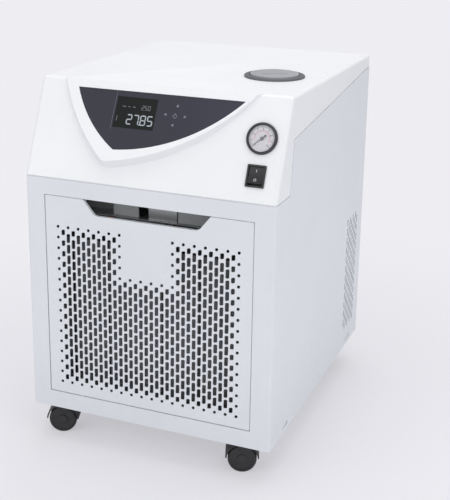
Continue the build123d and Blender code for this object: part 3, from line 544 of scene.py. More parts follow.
LENS = Finish("lens", (0.9, 0.92, 0.94), 0.04, coat=0.5, grain=200, grain_depth=0.001 * MM, alpha=0.1)
NEEDLE = Finish("needle_black", (0.012, 0.012, 0.013), 0.4)
SWITCH_BLACK = Finish("switch_black", (0.014, 0.014, 0.016), 0.33, grain=2400, grain_depth=0.012 * MM)
COLLAR = Finish("collar_grey", (0.11, 0.112, 0.125), 0.5, grain=1800, grain_depth=0.03 * MM)
CAP = Finish("cap_grey", (0.355, 0.36, 0.385), 0.5, grain=1800, grain_depth=0.03 * MM)
FITTING = Brushed("fitting_metal", (0.62, 0.57, 0.45), 0.28, 1.0, stretch=(1, 8, 1), smear=0.2)
CASTOR_STEEL = Brushed("castor_steel", (0.5, 0.51, 0.52), 0.35, 0.9, smear=0.2)
CASTOR_PLASTIC = Finish("castor_plastic", (0.026, 0.026, 0.027), 0.48, grain=1500, grain_depth=0.02 * MM)
TYRE = Finish("castor_tyre", (0.03, 0.03, 0.031), 0.66, grain=2000, grain_depth=0.02 * MM)
FOIL = FoilPrint(
    "panel_foil",
    (0.030, 0.031, 0.046),
    0.42,
    coat=0.04,
    grain=2500,
    grain_depth=0.004 * MM,
    specular=0.25,
    origin=POD.origin,
    across=POD.across,
    up=POD.up,
)
DIAL = DialPrint(
    "dial_white",
    (0.64, 0.62, 0.66),
    0.5,
    drift=0.01,
    centre=GAUGE.origin,
    across=GAUGE.across,
    up=GAUGE.up,
)
DIGITS = Finish("display_digits", (0.36, 0.40, 0.44), 0.5, glow=0.12, drift=0.02)
FAINT = Finish("display_faint", (0.16, 0.17, 0.19), 0.5, glow=0.1, drift=0.02)
KEY_PRINT = Finish("key_print", (0.20, 0.185, 0.26), 0.4, drift=0.02)
SWITCH_PRINT = Finish("switch_print", (0.55, 0.56, 0.57), 0.45, drift=0.02)
# Painted shade: the hood's tongue below the seam, really white plastic, takes this dark finish to stand for
# the shade in the seam's gap.
SEAM_SHADE = Finish("seam_shade", (0.085, 0.086, 0.095), 0.7)
PIN_BRASS = Brushed("pin_metal", (0.66, 0.6, 0.45), 0.3, 1.0)
SCREW_STEEL = Brushed("screw_steel", (0.55, 0.56, 0.57), 0.3, 1.0, smear=0.15)
LEVER = Finish("lever_plastic", (0.02, 0.05, 0.16), 0.4)

NODE_FINISHES: dict[str, Finish] = {
    "base_tray": CABINET,
    "front_frame": CABINET,
    "front_grille": CABINET,
    "left_side_panel": CABINET,
    "right_side_panel": CABINET,
    "rear_panel": CABINET,
    "hood": HOOD,
    "mid_deck": STEEL,
    "grille_magnets": DARK_METAL,
    "condenser": FINS,
    "fan_shroud": DARK_PLASTIC,
    "fan_rotor": DARK_PLASTIC,
    "fan_motor": DARK_METAL,
    "motor_bracket": STEEL,
    "compressor": DARK_METAL,
    "compressor_grommets": RUBBER,
    "pump": PUMP_METAL,
    "reservoir": STEEL,
    "heat_exchanger": STEEL,
    "control_box": GREY_PLASTIC,
    "suction_hose": HOSE,
    "outlet_hose": HOSE,
    "discharge_line": COPPER,
    "control_panel": FOIL,
    "display_window": DISPLAY,
    "display_module": DARK_PLASTIC,
    "gauge_case": BEZEL,
    "gauge_dial": DIAL,
    "gauge_lens": LENS,
    "gauge_needle": NEEDLE,
    "switch_frame": SWITCH_BLACK,
    "switch_rocker": SWITCH_BLACK,
    "filler_collar": COLLAR,
    "filler_cap": CAP,
    "pump_outlet": FITTING,
    "return_inlet": FITTING,
    "drain_valve": FITTING,
    "drain_lever": LEVER,
    "mains_inlet": DARK_PLASTIC,
}


# Modelling by hand


class Bench:
    """The operators that shape a piece."""

    @staticmethod
    def only(*pieces: bpy.types.Object) -> bpy.types.Object:
        """Selects just these pieces, the first one active."""
        bpy.ops.object.select_all(action="DESELECT")
        for piece in pieces:
            piece.select_set(True)
        bpy.context.view_layer.objects.active = pieces[0]
        return pieces[0]

    @staticmethod
    @contextmanager
    def editing(piece: bpy.types.Object, mode: str = "FACE") -> Iterator[None]:
        """Opens a piece for editing with nothing selected.

        Args:
            piece: the piece.
            mode: what is selected: VERT, EDGE or FACE.
        """
        Bench.only(piece)
        bpy.ops.object.mode_set(mode="EDIT")
        bpy.ops.mesh.select_mode(type=mode)
        bpy.ops.mesh.select_all(action="DESELECT")
        bpy.ops.object.mode_set(mode="OBJECT")
        yield
        bpy.ops.object.mode_set(mode="OBJECT")

    @staticmethod
    def pick(piece: bpy.types.Object, kind: str, test: Callable[[object], bool]) -> None:
        """Selects vertices, edges or faces by a test and opens edit mode.

        Args:
            piece: the active piece, in object mode.
            kind: vertices, edges or polygons.
            test: true for what is picked.
        """
        for item in getattr(piece.data, kind):
            item.select = bool(test(item))
        bpy.ops.object.mode_set(mode="EDIT")

    @staticmethod
    def named(name: str) -> bpy.types.Object:
        """Names the active object and its mesh."""
        piece = bpy.context.view_layer.objects.active
        piece.name = piece.data.name = name
        return piece

    @staticmethod
    def block(name: str, centre: Point, size: Point, edge: float = 0.0, steps: int = 2) -> bpy.types.Object:
        """A box with rounded edges.

        Args:
            name: the piece's name.
            centre: its middle.
            size: its lengths.
            edge: the edges' radius.
            steps: the segments of each rounded edge.

        Returns:
            The piece.
        """
        bpy.ops.mesh.primitive_cube_add(size=1, location=centre)
        piece = Bench.named(name)
        piece.scale = size
        Bench.settle(piece)
        if edge:
            Bench.modify(piece, "BEVEL", width=edge, segments=steps, limit_method="ANGLE")
        return piece

    @staticmethod
    def disc(name: str, radius: float, depth: float, sides: int = 48, edge: float = 0.0) -> bpy.types.Object:
        """A round plate on the flat drawing, standing up from 0 by depth.

        Args:
            name: the piece's name.
            radius: its radius.
            depth: its height.
            sides: the number of its sides.
            edge: the radius of its rims.

        Returns:
            The piece.
        """
        bpy.ops.mesh.primitive_cylinder_add(
            radius=radius, depth=depth, vertices=sides, location=(0, 0, depth / 2)
        )
        piece = Bench.named(name)
        Bench.settle(piece)
        if edge:
            Bench.modify(piece, "BEVEL", width=edge, segments=2, limit_method="ANGLE", angle_limit=1.0)
        return piece

    @staticmethod
    def outline(name: str, points: list[tuple[float, float]], depth: float) -> bpy.types.Object:
        """A flat shape with straight sides, pulled up by depth.

        Args:
            name: the piece's name.
            points: its corners in order.
            depth: its height.

        Returns:
            The piece.
        """
        bpy.ops.mesh.primitive_circle_add(vertices=len(points), fill_type="NGON")
        piece = Bench.named(name)
        for corner, (x, y) in zip(piece.data.vertices, points):
            corner.co = (x, y, 0)
        with Bench.editing(piece):
            Bench.pick(piece, "polygons", lambda face: True)
            bpy.ops.mesh.extrude_region_move(TRANSFORM_OT_translate={"value": (0, 0, depth)})
            bpy.ops.mesh.select_all(action="SELECT")
            bpy.ops.mesh.normals_make_consistent(inside=False)
        return piece

    @staticmethod
    def lathe(
        name: str,
        profile: list[tuple[float, float]],
        steps: int = 64,
        closed: bool = False,
        angle: float = 2 * math.pi,
    ) -> bpy.types.Object:
        """A round piece turned about the flat drawing's outward direction.

        Args:
            name: the piece's name.
            profile: radius and height of each point in order.
            steps: the number of steps of the turn.
            closed: true where the profile's last point joins its first.
            angle: how far it is turned.

        Returns:
            The piece.
        """
        bpy.ops.mesh.primitive_circle_add(vertices=len(profile), fill_type="NOTHING")
        piece = Bench.named(name)
        for corner, (radius, height) in zip(piece.data.vertices, profile):
            corner.co = (radius, 0, height)
        ends = {0, len(profile) - 1}
        with Bench.editing(piece, "EDGE"):
            if not closed:
                Bench.pick(piece, "edges", lambda edge: set(edge.vertices) == ends)
                bpy.ops.mesh.delete(type="EDGE")
            bpy.ops.object.mode_set(mode="EDIT")
            bpy.ops.mesh.select_all(action="SELECT")
            bpy.ops.mesh.spin(steps=steps, angle=angle, center=(0, 0, 0), axis=(0, 0, 1))
            bpy.ops.mesh.select_all(action="SELECT")
            bpy.ops.mesh.remove_doubles(threshold=0.01 * MM)
            bpy.ops.mesh.normals_make_consistent(inside=False)
        return piece

    @staticmethod
    def modify(piece: bpy.types.Object, kind: str, **settings: object) -> bpy.types.Object:
        """Adds a modifier with its settings and applies it.

        Args:
            piece: the piece.
            kind: the modifier's type.
            settings: its settings.

        Returns:
            The piece.
        """
        Bench.only(piece)
        made = piece.modifiers.new(kind.title(), kind)
        for key, value in settings.items():
            setattr(made, key, value)
        bpy.ops.object.modifier_apply(modifier=made.name)
        return piece

    @staticmethod
    def cut(piece: bpy.types.Object, cutter: bpy.types.Object) -> bpy.types.Object:
        """Cuts one piece out of another and removes the cutter."""
        Bench.modify(piece, "BOOLEAN", operation="DIFFERENCE", solver="EXACT", object=cutter)
        bpy.data.objects.remove(cutter)
        return piece

    @staticmethod
    def copy(piece: bpy.types.Object, offset: Point = (0, 0, 0)) -> bpy.types.Object:
        """A copy with its own mesh, moved by offset."""
        twin = piece.copy()
        twin.data = piece.data.copy()
        twin.data.transform(Matrix.Translation(offset))
        bpy.context.scene.collection.objects.link(twin)
        return twin

    @staticmethod
    def join(name: str, pieces: Iterable[bpy.types.Object]) -> bpy.types.Object:
        """Joins pieces into one."""
        Bench.only(*pieces)
        bpy.ops.object.join()
        return Bench.named(name)

    @staticmethod
    def settle(piece: bpy.types.Object, seat: Seat | None = None) -> bpy.types.Object:
        """Puts a piece's place into its mesh, on a seat where one is given."""
        if seat is not None:
            piece.matrix_world = seat.matrix() @ piece.matrix_world
        Bench.only(piece)
        bpy.ops.object.transform_apply(location=True, rotation=True, scale=True)
        return piece

    @staticmethod
    def bar(width: float, height: float, spot: tuple[float, float]) -> bpy.types.Object:
        """A flat lit bar with pointed ends along its longer side.

        Args:
            width: its length across.
            height: its length up.
            spot: its middle.

        Returns:
            The piece.
        """
        w, h = width / 2, height / 2
        if w > h:
            points = [(w, 0), (w - h, h), (h - w, h), (-w, 0), (h - w, -h), (w - h, -h)]
        else:
            points = [(0, h), (-w, h - w), (-w, w - h), (0, -h), (w, w - h), (w, h - w)]
        return Bench.settle_at(Bench.outline("bar", points, 0.05 * MM), spot)

    @staticmethod
    def dot(radius: float, spot: tuple[float, float]) -> bpy.types.Object:
        """A small flat dot."""
        return Bench.settle_at(Bench.disc("dot", radius, 0.05 * MM, 20), spot)

    @staticmethod
    def settle_at(piece: bpy.types.Object, spot: tuple[float, float]) -> bpy.types.Object:
        """Moves a piece on the flat drawing and puts the place into its mesh."""
        piece.location.x, piece.location.y = spot
        return Bench.settle(piece)

    @staticmethod
    def smooth(piece: bpy.types.Object, degrees: float = 30.0) -> bpy.types.Object:
        """Shades a piece smooth apart from its sharper edges."""
        Bench.only(piece)
        bpy.ops.object.shade_smooth_by_angle(angle=math.radians(degrees))
        return Bench.modify(piece, "WEIGHTED_NORMAL", keep_sharp=True)

    @staticmethod
    def like(node: str, name: str) -> bpy.types.Object:
        """A merged copy of a CAD node, its flat faces whole again."""
        twin = Bench.copy(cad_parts[node])
        twin.name = twin.data.name = name
        twin.parent = None
        for key in list(twin.keys()):
            del twin[key]
        twin.data.materials.clear()
        with Bench.editing(twin, "VERT"):
            bpy.ops.object.mode_set(mode="EDIT")
            bpy.ops.mesh.select_all(action="SELECT")
            bpy.ops.mesh.remove_doubles(threshold=0.005 * MM)
            bpy.ops.mesh.dissolve_limited(angle_limit=math.radians(0.6))
            bpy.ops.mesh.customdata_custom_splitnormals_clear()
        return twin

    @staticmethod
    def round_edges(
        piece: bpy.types.Object,
        width: float,
        steps: int = 2,
        test: Callable[[Vector], bool] | None = None,
        sharp: float = 35.0,
        clamp: bool = True,
    ) -> bpy.types.Object:
        """Rounds the sharp edges of a piece.

        Args:
            piece: the piece.
            width: the rounding's width.
            steps: its segments.
            test: true for the middle of each edge that is rounded, or all of them.
            sharp: the least angle between two faces, in degrees.
            clamp: keeps roundings from running into each other.

        Returns:
            The piece.
        """
        with Bench.editing(piece, "EDGE"):
            bpy.ops.object.mode_set(mode="EDIT")
            bpy.ops.mesh.edges_select_sharp(sharpness=math.radians(sharp))
            bpy.ops.object.mode_set(mode="OBJECT")
            corners = piece.data.vertices
            chosen = piece.data.attributes.get("bevel_weight_edge") or piece.data.attributes.new(
                "bevel_weight_edge", "FLOAT", "EDGE"
            )
            for edge in piece.data.edges:
                middle = (corners[edge.vertices[0]].co + corners[edge.vertices[1]].co) / 2
                keep = edge.select and (test is None or test(middle))
                chosen.data[edge.index].value = 1.0 if keep else 0.0
        Bench.modify(
            piece,
            "BEVEL",
            width=width,
            segments=steps,
            limit_method="WEIGHT",
            use_clamp_overlap=clamp,
        )
        old = piece.data.attributes.get("bevel_weight_edge")
        if old is not None:
            piece.data.attributes.remove(old)
        return piece


def dress(
    piece: bpy.types.Object,
    body: str | Body,
    finish: Finish,
    *replaced: str,
    slot: str | None = None,
) -> bpy.types.Object:
    """Gives a finished piece its material and its body, and hides the CAD nodes that it stands for.

    Args:
        piece: the piece.
        body: the body that it rides on.
        finish: its finish.
        replaced: the CAD nodes that it stands for.
        slot: not used; the record's material slot, where it isn't the finish's own name.

    Returns:
        The piece.
    """
    if not piece.data.materials:
        piece.data.materials.append(finish.material())
    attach(piece, body.value if isinstance(body, Body) else body)
    if replaced:
        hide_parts(*replaced)
    LOG.info("%s: %d faces", piece.name, len(piece.data.polygons))
    return piece


def second_finish(
    piece: bpy.types.Object,
    first: Finish,
    second: Finish,
    test: Callable[[Vector], bool],
    whole: bool = False,
) -> bpy.types.Object:
    """Gives some faces of a piece another finish.

    Args:
        piece: the piece, without materials.
        first: its main finish.
        second: the other finish.
        test: true for the middle of each face that takes the second.
        whole: tests every corner of the face instead of its middle.

    Returns:
        The piece.
    """
    piece.data.materials.append(first.material())
    piece.data.materials.append(second.material())
    corners = piece.data.vertices
    for face in piece.data.polygons:
        spots = [corners[k].co for k in face.vertices] if whole else [face.center]
        face.material_index = 1 if all(test(spot) for spot in spots) else 0
    return piece


# Sub-assemblies


@dataclass
class Cabinet:
    """The painted sheet metal: front frame, side and rear panels, and the perforated grille."""

    edge: float = 0.5 * MM
    grille_w: float = 377 * MM
    grille_low: float = 97 * MM
    grille_high: float = 460 * MM
    fold: float = 10 * MM
    sheet: float = 1.5 * MM
    handle_top: float = 230 * MM
    handle_low: float = 188 * MM
    handle_h: float = 26 * MM
    columns: int = 35
    rows: int = 16
    pitch_x: float = 9.67 * MM
    pitch_z: float = 19.2 * MM
    top_drop: float = 53.5 * MM
    slot_w: float = 7.2 * MM
    slot_end: float = 0.5
    heights: tuple[float, float, float] = (5.4 * MM, 10.0 * MM, 16.0 * MM)
    pad_columns: int = 9
    pad_rows: int = 4

    def build(self) -> None:
        """Makes every panel and dresses it."""
        for node in ("front_frame", "left_side_panel", "right_side_panel", "rear_panel"):
            self.panel(node)
        self.grille()
        self.supports()
        self.screws()

    def panel(self, node: str) -> None:
        """A panel with its outer edges slightly rounded."""
        piece = Bench.like(node, f"{node}_sheet")
        low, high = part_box(node)

        def outer(middle: Vector) -> bool:
            """True on the panel's own border."""
            gaps = [min(middle[k] - low[k], high[k] - middle[k]) for k in range(3)]
            return sum(gap < 0.02 * MM for gap in gaps) >= 2

        Bench.round_edges(piece, self.edge, 2, outer)
        dress(Bench.smooth(piece), Body.CABINET, CABINET, node)

    def slot_index(self, column: int, row: int) -> int:
        """Which of the three heights a slot has: smaller at the border and round the blank pad.

        Args:
            column: its column from the left.
            row: its row from the top.

        Returns:
            The height's place in heights.
        """
        last_row = self.rows - 1 - column % 2
        from_side = min(column, self.columns - 1 - column)
        from_end = min(row, last_row - row) * 2 + column % 2
        pad_side = abs(column - (self.columns - 1) // 2) - self.pad_columns // 2
        pad_drop = 2 * (row - self.pad_rows) + column % 2
        near = max(pad_side - 1, pad_drop) if row <= self.pad_rows else pad_drop
        return min(from_side, from_end, max(near, 0) if near < 2 else 2, 2)

    def slot_tool(self, height: float) -> bpy.types.Object:
        """The punch of one slot, with flattened round ends, on the flat drawing."""
        sides = 12
        radius = self.slot_w / 2 / math.cos(math.pi / sides)
        bpy.ops.mesh.primitive_cylinder_add(
            vertices=sides,
            radius=radius,
            depth=3 * self.sheet,
            rotation=(0, 0, math.pi / sides),
        )
        tool = Bench.named("slot_tool")
        slim = 0.75 if height < self.slot_w else 1.0
        tool.scale = (slim, self.slot_end, 1)
        Bench.settle(tool)
        stretch = (height - self.slot_w * self.slot_end) / 2
        with Bench.editing(tool, "VERT"):
            Bench.pick(tool, "vertices", lambda corner: corner.co.y > 0)
            bpy.ops.transform.translate(value=(0, stretch, 0))
            bpy.ops.mesh.select_all(action="INVERT")
            bpy.ops.transform.translate(value=(0, -stretch, 0))
        return tool

    def handle_points(self, grow: float) -> list[tuple[float, float]]:
        """The finger cut-out's outline with cut corners, larger by grow."""
        top, low = self.handle_top / 2 + grow, self.handle_low / 2 + grow
        high, foot = self.grille_high + 5 * MM, self.grille_high - self.handle_h - grow
        lean = (top - low) / (self.handle_h + grow)
        cut = 5 * MM
        right = [
            (low - cut, foot),
            (low - cut * 0.3, foot + cut * 0.15),
            (low + lean * cut * 0.7, foot + cut * 0.7),
            (top, self.grille_high),
            (top, high),
        ]
        return right + [(-x, s) for x, s in reversed(right)]

    def grille(self) -> None:
        """The folded grille with its punched slots and the finger cut-out."""
        height = self.grille_high - self.grille_low
        middle = (self.grille_high + self.grille_low) / 2
        piece = Bench.block(
            "grille_sheet", (0, middle, -self.fold), (self.grille_w, height, 2 * self.fold), 1.8 * MM, 3
        )
        with Bench.editing(piece):
            Bench.pick(piece, "polygons", lambda face: True)
            bpy.ops.mesh.bisect(
                plane_co=(0, 0, -self.fold), plane_no=(0, 0, -1), use_fill=False, clear_outer=True
            )
        Bench.modify(piece, "SOLIDIFY", thickness=self.sheet, offset=-1.0)
        handle = Bench.outline("handle_tool", self.handle_points(0), 3 * self.fold)
        handle.location.z = -2 * self.fold
        Bench.cut(piece, Bench.settle(handle))
        tools = [self.slot_tool(height) for height in self.heights]
        punches = []
        for column in range(self.columns):
            x = (column - (self.columns - 1) / 2) * self.pitch_x
            first = self.grille_high - self.top_drop - column % 2 * self.pitch_z / 2
            in_pad = abs(column - (self.columns - 1) // 2) <= self.pad_columns // 2
            for row in range(self.rows - column % 2):
                if in_pad and row < self.pad_rows:
                    continue
                tool = tools[self.slot_index(column, row)]
                punches.append(Bench.copy(tool, (x, first - row * self.pitch_z, 0)))
        for tool in tools:
            bpy.data.objects.remove(tool)
        Bench.cut(piece, Bench.join("slot_tools", punches))
        lip = Bench.outline("handle_lip", self.handle_points(self.sheet), self.fold / 2)
        lip.location.z = -self.fold / 2 - 0.02 * MM
        inner = Bench.outline("lip_tool", self.handle_points(0), 2 * self.fold)
        inner.location.z = -self.fold
        Bench.cut(Bench.settle(lip), Bench.settle(inner))
        with Bench.editing(lip):
            Bench.pick(lip, "polygons", lambda face: True)
            bpy.ops.mesh.bisect(
                plane_co=(0, self.grille_high, 0), plane_no=(0, 1, 0), use_fill=True, clear_outer=True
            )
        piece = Bench.settle(Bench.join("grille_sheet", [piece, lip]), FRONT)
        dress(Bench.smooth(piece), Body.GRILLE, CABINET, "front_grille")

    def supports(self) -> None:
        """The sheet supports on the deck that show through the finger cut-out."""
        deck_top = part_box("mid_deck")[1].z + 0.3 * MM
        high = 30 * MM
        spans = ((-77, -30, GREY_PLASTIC), (-12, 40, STEEL), (42, 98, GREY_PLASTIC))
        for place, (left, right, finish) in enumerate(spans):
            piece = Bench.block(
                f"front_support_{place}",
                ((left + right) / 2 * MM, Seats.front_y + 38 * MM, deck_top + high / 2),
                ((right - left) * MM, 2 * MM, high),
                0.5 * MM,
            )
            dress(Bench.smooth(piece), Body.CABINET, finish)

    def screws(self) -> None:
        """Cross-head screws round the rear panel's border."""
        head = Bench.disc("rear_screw", 3.6 * MM, 1.5 * MM, 20, 0.5 * MM)
        for turn in (0.0, math.pi / 2):
            slit = Bench.block("slit", (0, 0, 1.4 * MM), (4.2 * MM, 0.8 * MM, 1.4 * MM))
            slit.rotation_euler.z = turn
            Bench.cut(head, Bench.settle(slit))
        spots = [
            (x, z)
            for x in (-212 * MM, 212 * MM)
            for z in (80 * MM, 215 * MM, 350 * MM, 485 * MM, 612 * MM)
        ]
        heads = [Bench.copy(head, (x, z, 0)) for x, z in spots]
        bpy.data.objects.remove(head)
        piece = Bench.settle(Bench.join("rear_screws", heads), REAR)
        dress(Bench.smooth(piece), Body.CABINET, SCREW_STEEL, slot="plain_steel")


def arc_points(
    start: tuple[float, float], end: tuple[float, float], bulge: float, steps: int
) -> list[Vector]:
    """Points on an arc that bulges to the right of its way from start to end.

    Args:
        start: the first point.
        end: the last point.
        bulge: how far its middle lies from the straight line.
        steps: the number of steps.

    Returns:
        The points in order, both ends included.
    """
    first, last = Vector(start), Vector(end)
    half = (last - first).length / 2
    radius = (half * half + bulge * bulge) / (2 * bulge)
    right = Vector(((last - first).y, -(last - first).x)).normalized()
    centre = (first + last) / 2 - right * (radius - bulge)
    spread = math.asin(min(half / radius, 1.0))
    aim = math.atan2(right.y, right.x)
    turns = [aim + spread * (1 - 2 * k / steps) for k in range(steps + 1)]
    points = [centre + Vector((math.cos(a), math.sin(a))) * radius for a in turns]
    if (points[0] - first).length > (points[-1] - first).length:
        points.reverse()
    return points


@dataclass
class Hood:
    """The moulded hood with its raised surround, and the control panel in it."""

    rim: float = 3.0 * MM
    edge: float = 0.7 * MM
    panel_top: float = 157.5 * MM
    panel_half: float = 149.5 * MM
    panel_low: tuple[float, float] = (-63.5 * MM, 56.5 * MM)
    panel_bulges: tuple[float, float] = (10 * MM, 22.6 * MM)
    cheek_y: float = -226 * MM
    kink: tuple[float, float] = (-213 * MM, 581 * MM)
    rear_seam: float = 628 * MM

    def build(self) -> None:
        """Makes the hood's shell and dresses it."""
        piece = Bench.like("hood", "hood_shell")
        border = self.panel_border()

        def near_panel(middle: Vector) -> bool:
            """True on the edge of the panel's recess."""
            flat = Vector(((middle - POD.origin) @ POD.across, (middle - POD.origin) @ POD.up))
            return min((flat - spot).length for spot in border) < 3 * MM

        def on_rim(middle: Vector) -> bool:
            """True on the raised surround's rim and foot."""
            if middle.y > -222 * MM or middle.z < 500 * MM:
                return False
            off = middle - POD.origin
            high = off @ POD.out
            flat_x = abs(off @ POD.across)
            above = (middle - FASCIA.origin) @ FASCIA.out
            rim = abs(high) < 0.3 * MM and flat_x < 192 * MM and not near_panel(middle)
            foot = abs(above) < 0.3 * MM and high < -0.5 * MM and flat_x < 178 * MM
            return rim or foot

        Bench.round_edges(piece, self.rim, 4, on_rim, sharp=20)
        Bench.round_edges(piece, self.edge, 2, lambda middle: not on_rim(middle) and middle.z > 489 * MM, 50)
        # Painted shade: the tongue below the seam takes the dark seam finish, standing for the shade in the
        # gap between hood and cabinet.
        second_finish(piece, HOOD, SEAM_SHADE, self.in_seam, whole=True)
        dress(Bench.smooth(piece, 40), Body.CABINET, HOOD, "hood")

    def panel_border(self) -> list[Vector]:
        """Points along the control panel's outline, across and up its face."""
        left, right = (-self.panel_half, self.panel_top), (self.panel_half, self.panel_top)
        top = [Vector(left).lerp(Vector(right), k / 60) for k in range(61)]
        return (
            top
            + arc_points(left, self.panel_low, self.panel_bulges[0], 40)
            + arc_points(self.panel_low, right, self.panel_bulges[1], 70)
        )

    def in_seam(self, spot: Vector) -> bool:
        """True below the hood's seam, on the tongue that enters the cabinet, which is painted dark as the
        seam's shade.
        """
        if spot.y < self.cheek_y:
            seam = Seats.seam_z
        elif spot.y < self.kink[0]:
            share = (spot.y - self.cheek_y) / (self.kink[0] - self.cheek_y)
            seam = Seats.seam_z + share * (self.kink[1] - Seats.seam_z)
        else:
            share = (spot.y - self.kink[0]) / (Seats.rear_y - self.kink[0])
            seam = self.kink[1] + share * (self.rear_seam - self.kink[1])
        return spot.z < seam - 0.8 * MM


class Digit(Enum):
    """The lit bars of each figure: top, upper right, lower right, foot, lower left, upper left, middle."""

    ZERO = "1111110"
    TWO = "1101101"
    FIVE = "1011011"
    SEVEN = "1110000"
    EIGHT = "1111111"


@dataclass
class Display:
    """The lit figures and marks on the display window and the printed keys beside it."""

    window: tuple[float, float] = (-36.5 * MM, 121 * MM)
    lift: float = 0.04 * MM
    keys: dict[str, tuple[float, float]] = field(
        default_factory=lambda: {
            "up": (35.7 * MM, 140 * MM),
            "left": (17 * MM, 124 * MM),
            "enter": (34 * MM, 122.5 * MM),
            "right": (51.5 * MM, 123 * MM),
            "down": (33 * MM, 107 * MM),
        }
    )

    def build(self) -> None:
        """Makes the figures, the small marks and the keys."""
        big = self.figures([Digit.TWO, Digit.SEVEN, Digit.EIGHT, Digit.FIVE], (-50.5, 101), 10.2, 17.5, 1.9)
        dot = Bench.dot(1.15 * MM, (-26.2 * MM, 102 * MM))
        dress(self.put("display_figures", big + [dot]), Body.CABINET, DIGITS, slot="display")
        small = self.figures([Digit.TWO, Digit.FIVE, Digit.ZERO], (-27, 127), 4.6, 8.0, 0.9)
        for k, width in enumerate((7.0, 4.0, 5.5)):
            small.append(Bench.bar(width * MM, 1.1 * MM, (-58.5 * MM + k * 9 * MM, 131 * MM)))
        small.append(Bench.bar(1.0 * MM, 9 * MM, (-68.2 * MM, 110 * MM)))
        dress(self.put("display_marks", small), Body.CABINET, FAINT, slot="display")
        self.print_keys()

    def put(self, name: str, marks: list[bpy.types.Object]) -> bpy.types.Object:
        """Joins flat marks and lays them on the panel's face."""
        return Bench.settle(Bench.join(name, marks), POD.moved(0, 0, self.lift - 0.05 * MM))

    def figures(
        self, digits: list[Digit], corner: tuple[float, float], width: float, height: float, bar: float
    ) -> list[bpy.types.Object]:
        """Seven-bar figures in a row.

        Args:
            digits: the figures.
            corner: the first figure's lower left corner, in millimetres.
            width: a figure's width, in millimetres.
            height: its height, in millimetres.
            bar: the bars' width, in millimetres.

        Returns:
            The lit bars.
        """
        made = []
        half, rest = height / 2, width - bar
        for place, digit in enumerate(digits):
            x = corner[0] + place * (width + bar * 1.15) + bar / 2
            low = corner[1] + bar / 2
            step = half - bar / 2
            spots = [
                (x + rest / 2, low + 2 * step, False),
                (x + rest, low + 1.5 * step, True),
                (x + rest, low + 0.5 * step, True),
                (x + rest / 2, low, False),
                (x, low + 0.5 * step, True),
                (x, low + 1.5 * step, True),
                (x + rest / 2, low + step, False),
            ]
            for lit, (cx, cy, upright) in zip(digit.value, spots):
                if lit == "1":
                    size = (bar, step - bar * 0.12) if upright else (rest - bar * 0.12, bar)
                    made.append(Bench.bar(size[0] * MM, size[1] * MM, (cx * MM, cy * MM)))
        return made

    def print_keys(self) -> None:
        """The keys' printed arrows, the ring of the middle key and a short upright bar across the ring's top.
        """
        marks = []
        for name, turn in (("up", 0.0), ("left", math.pi / 2), ("down", math.pi), ("right", -math.pi / 2)):
            points = [
                (3.1 * MM * math.cos(turn + a), 3.1 * MM * math.sin(turn + a))
                for a in (math.pi / 2, math.pi / 2 + 2.25, math.pi / 2 - 2.25)
            ]
            arrow = Bench.outline(f"arrow_{name}", points, 0.05 * MM)
            marks.append(Bench.settle_at(arrow, self.keys[name]))
        profile = [(2.6, 0.0), (2.6, 0.05), (3.5, 0.05), (3.5, 0.0)]
        ring = Bench.lathe("key_ring", millimetres(profile), 32, closed=True)
        marks.append(Bench.settle_at(ring, self.keys["enter"]))
        marks.append(Bench.bar(0.9 * MM, 3.6 * MM, (34 * MM, 126 * MM)))
        dress(self.put("key_print", marks), Body.CABINET, KEY_PRINT, slot="panel_foil")


@dataclass
class Gauge:
    """The pressure gauge: turned case, numerals, needle and domed lens."""

    dial_top: float = 1.0 * MM
    needle_top: float = 2.3 * MM
    needle_rest: float = math.radians(222)

    def build(self) -> None:
        """Makes the gauge's pieces."""
        profile = [
            (0, -26), (23.5, -26), (24.5, -25), (24.5, 0.02), (25.4, 0.02), (25.8, 0.5),
            (25.8, 2.4), (25.5, 3.3), (24.9, 3.9), (24.2, 4.0), (22.6, 3.8), (21.6, 3.3),
            (21.3, 2.9), (21.3, 1.4), (23.0, 1.4), (23.0, 0.0), (0, 0.0),
        ]
        case = Bench.lathe("gauge_bezel", millimetres(profile), 96)
        dress(Bench.smooth(Bench.settle(case, GAUGE), 35), Body.CABINET, BEZEL, "gauge_case")
        self.numerals()
        self.needle()
        glass = [(0, 3.95), (9, 3.85), (16, 3.55), (21.1, 3.1), (21.1, 2.9), (0, 3.2)]
        lens = Bench.lathe(
            "gauge_glass",
            millimetres(glass),
            72,
        )
        dress(Bench.smooth(Bench.settle(lens, GAUGE)), Body.CABINET, LENS, "gauge_lens")

    def numerals(self) -> None:
        """The dial's numbers."""
        made = []
        for k in range(5):
            turn = math.radians(-135 + 67.5 * k)
            bpy.ops.object.text_add(location=(0, 0, 0))
            text = bpy.context.view_layer.objects.active
            text.data.body = str(k)
            text.data.size = 5.2 * MM
            text.data.align_x, text.data.align_y = "CENTER", "CENTER"
            text.data.extrude = 0.01 * MM
            text.location = (13.9 * MM * math.sin(turn), 13.9 * MM * math.cos(turn), 0.02 * MM)
            Bench.only(text)
            bpy.ops.object.convert(target="MESH")
            made.append(Bench.settle(bpy.context.view_layer.objects.active))
        piece = Bench.settle(Bench.join("gauge_numerals", made), GAUGE.moved(0, 0, self.dial_top))
        dress(piece, Body.CABINET, NEEDLE, slot="needle_black")

    def needle(self) -> None:
        """The tapered needle with its hub, pointing to the start of the scale."""
        lower = [(-8.6, -1.7), (-3, -1.1), (0, -0.95), (17.2, -0.22)]
        upper = [(17.2, 0.22), (0, 0.95), (-3, 1.1)]
        blade = [(-8.6, 1.7), *lower, *upper]
        needle = Bench.outline("gauge_pointer", millimetres(blade), 0.5 * MM)
        hub = Bench.disc("gauge_hub", 3.0 * MM, 0.85 * MM, 32, 0.25 * MM)
        piece = Bench.join("gauge_pointer", [needle, hub])
        low = self.needle_top - 0.55 * MM
        Bench.settle(piece, GAUGE.moved(0, 0, low).turned(self.needle_rest))
        dress(Bench.smooth(piece), Body.NEEDLE, NEEDLE, "gauge_needle")


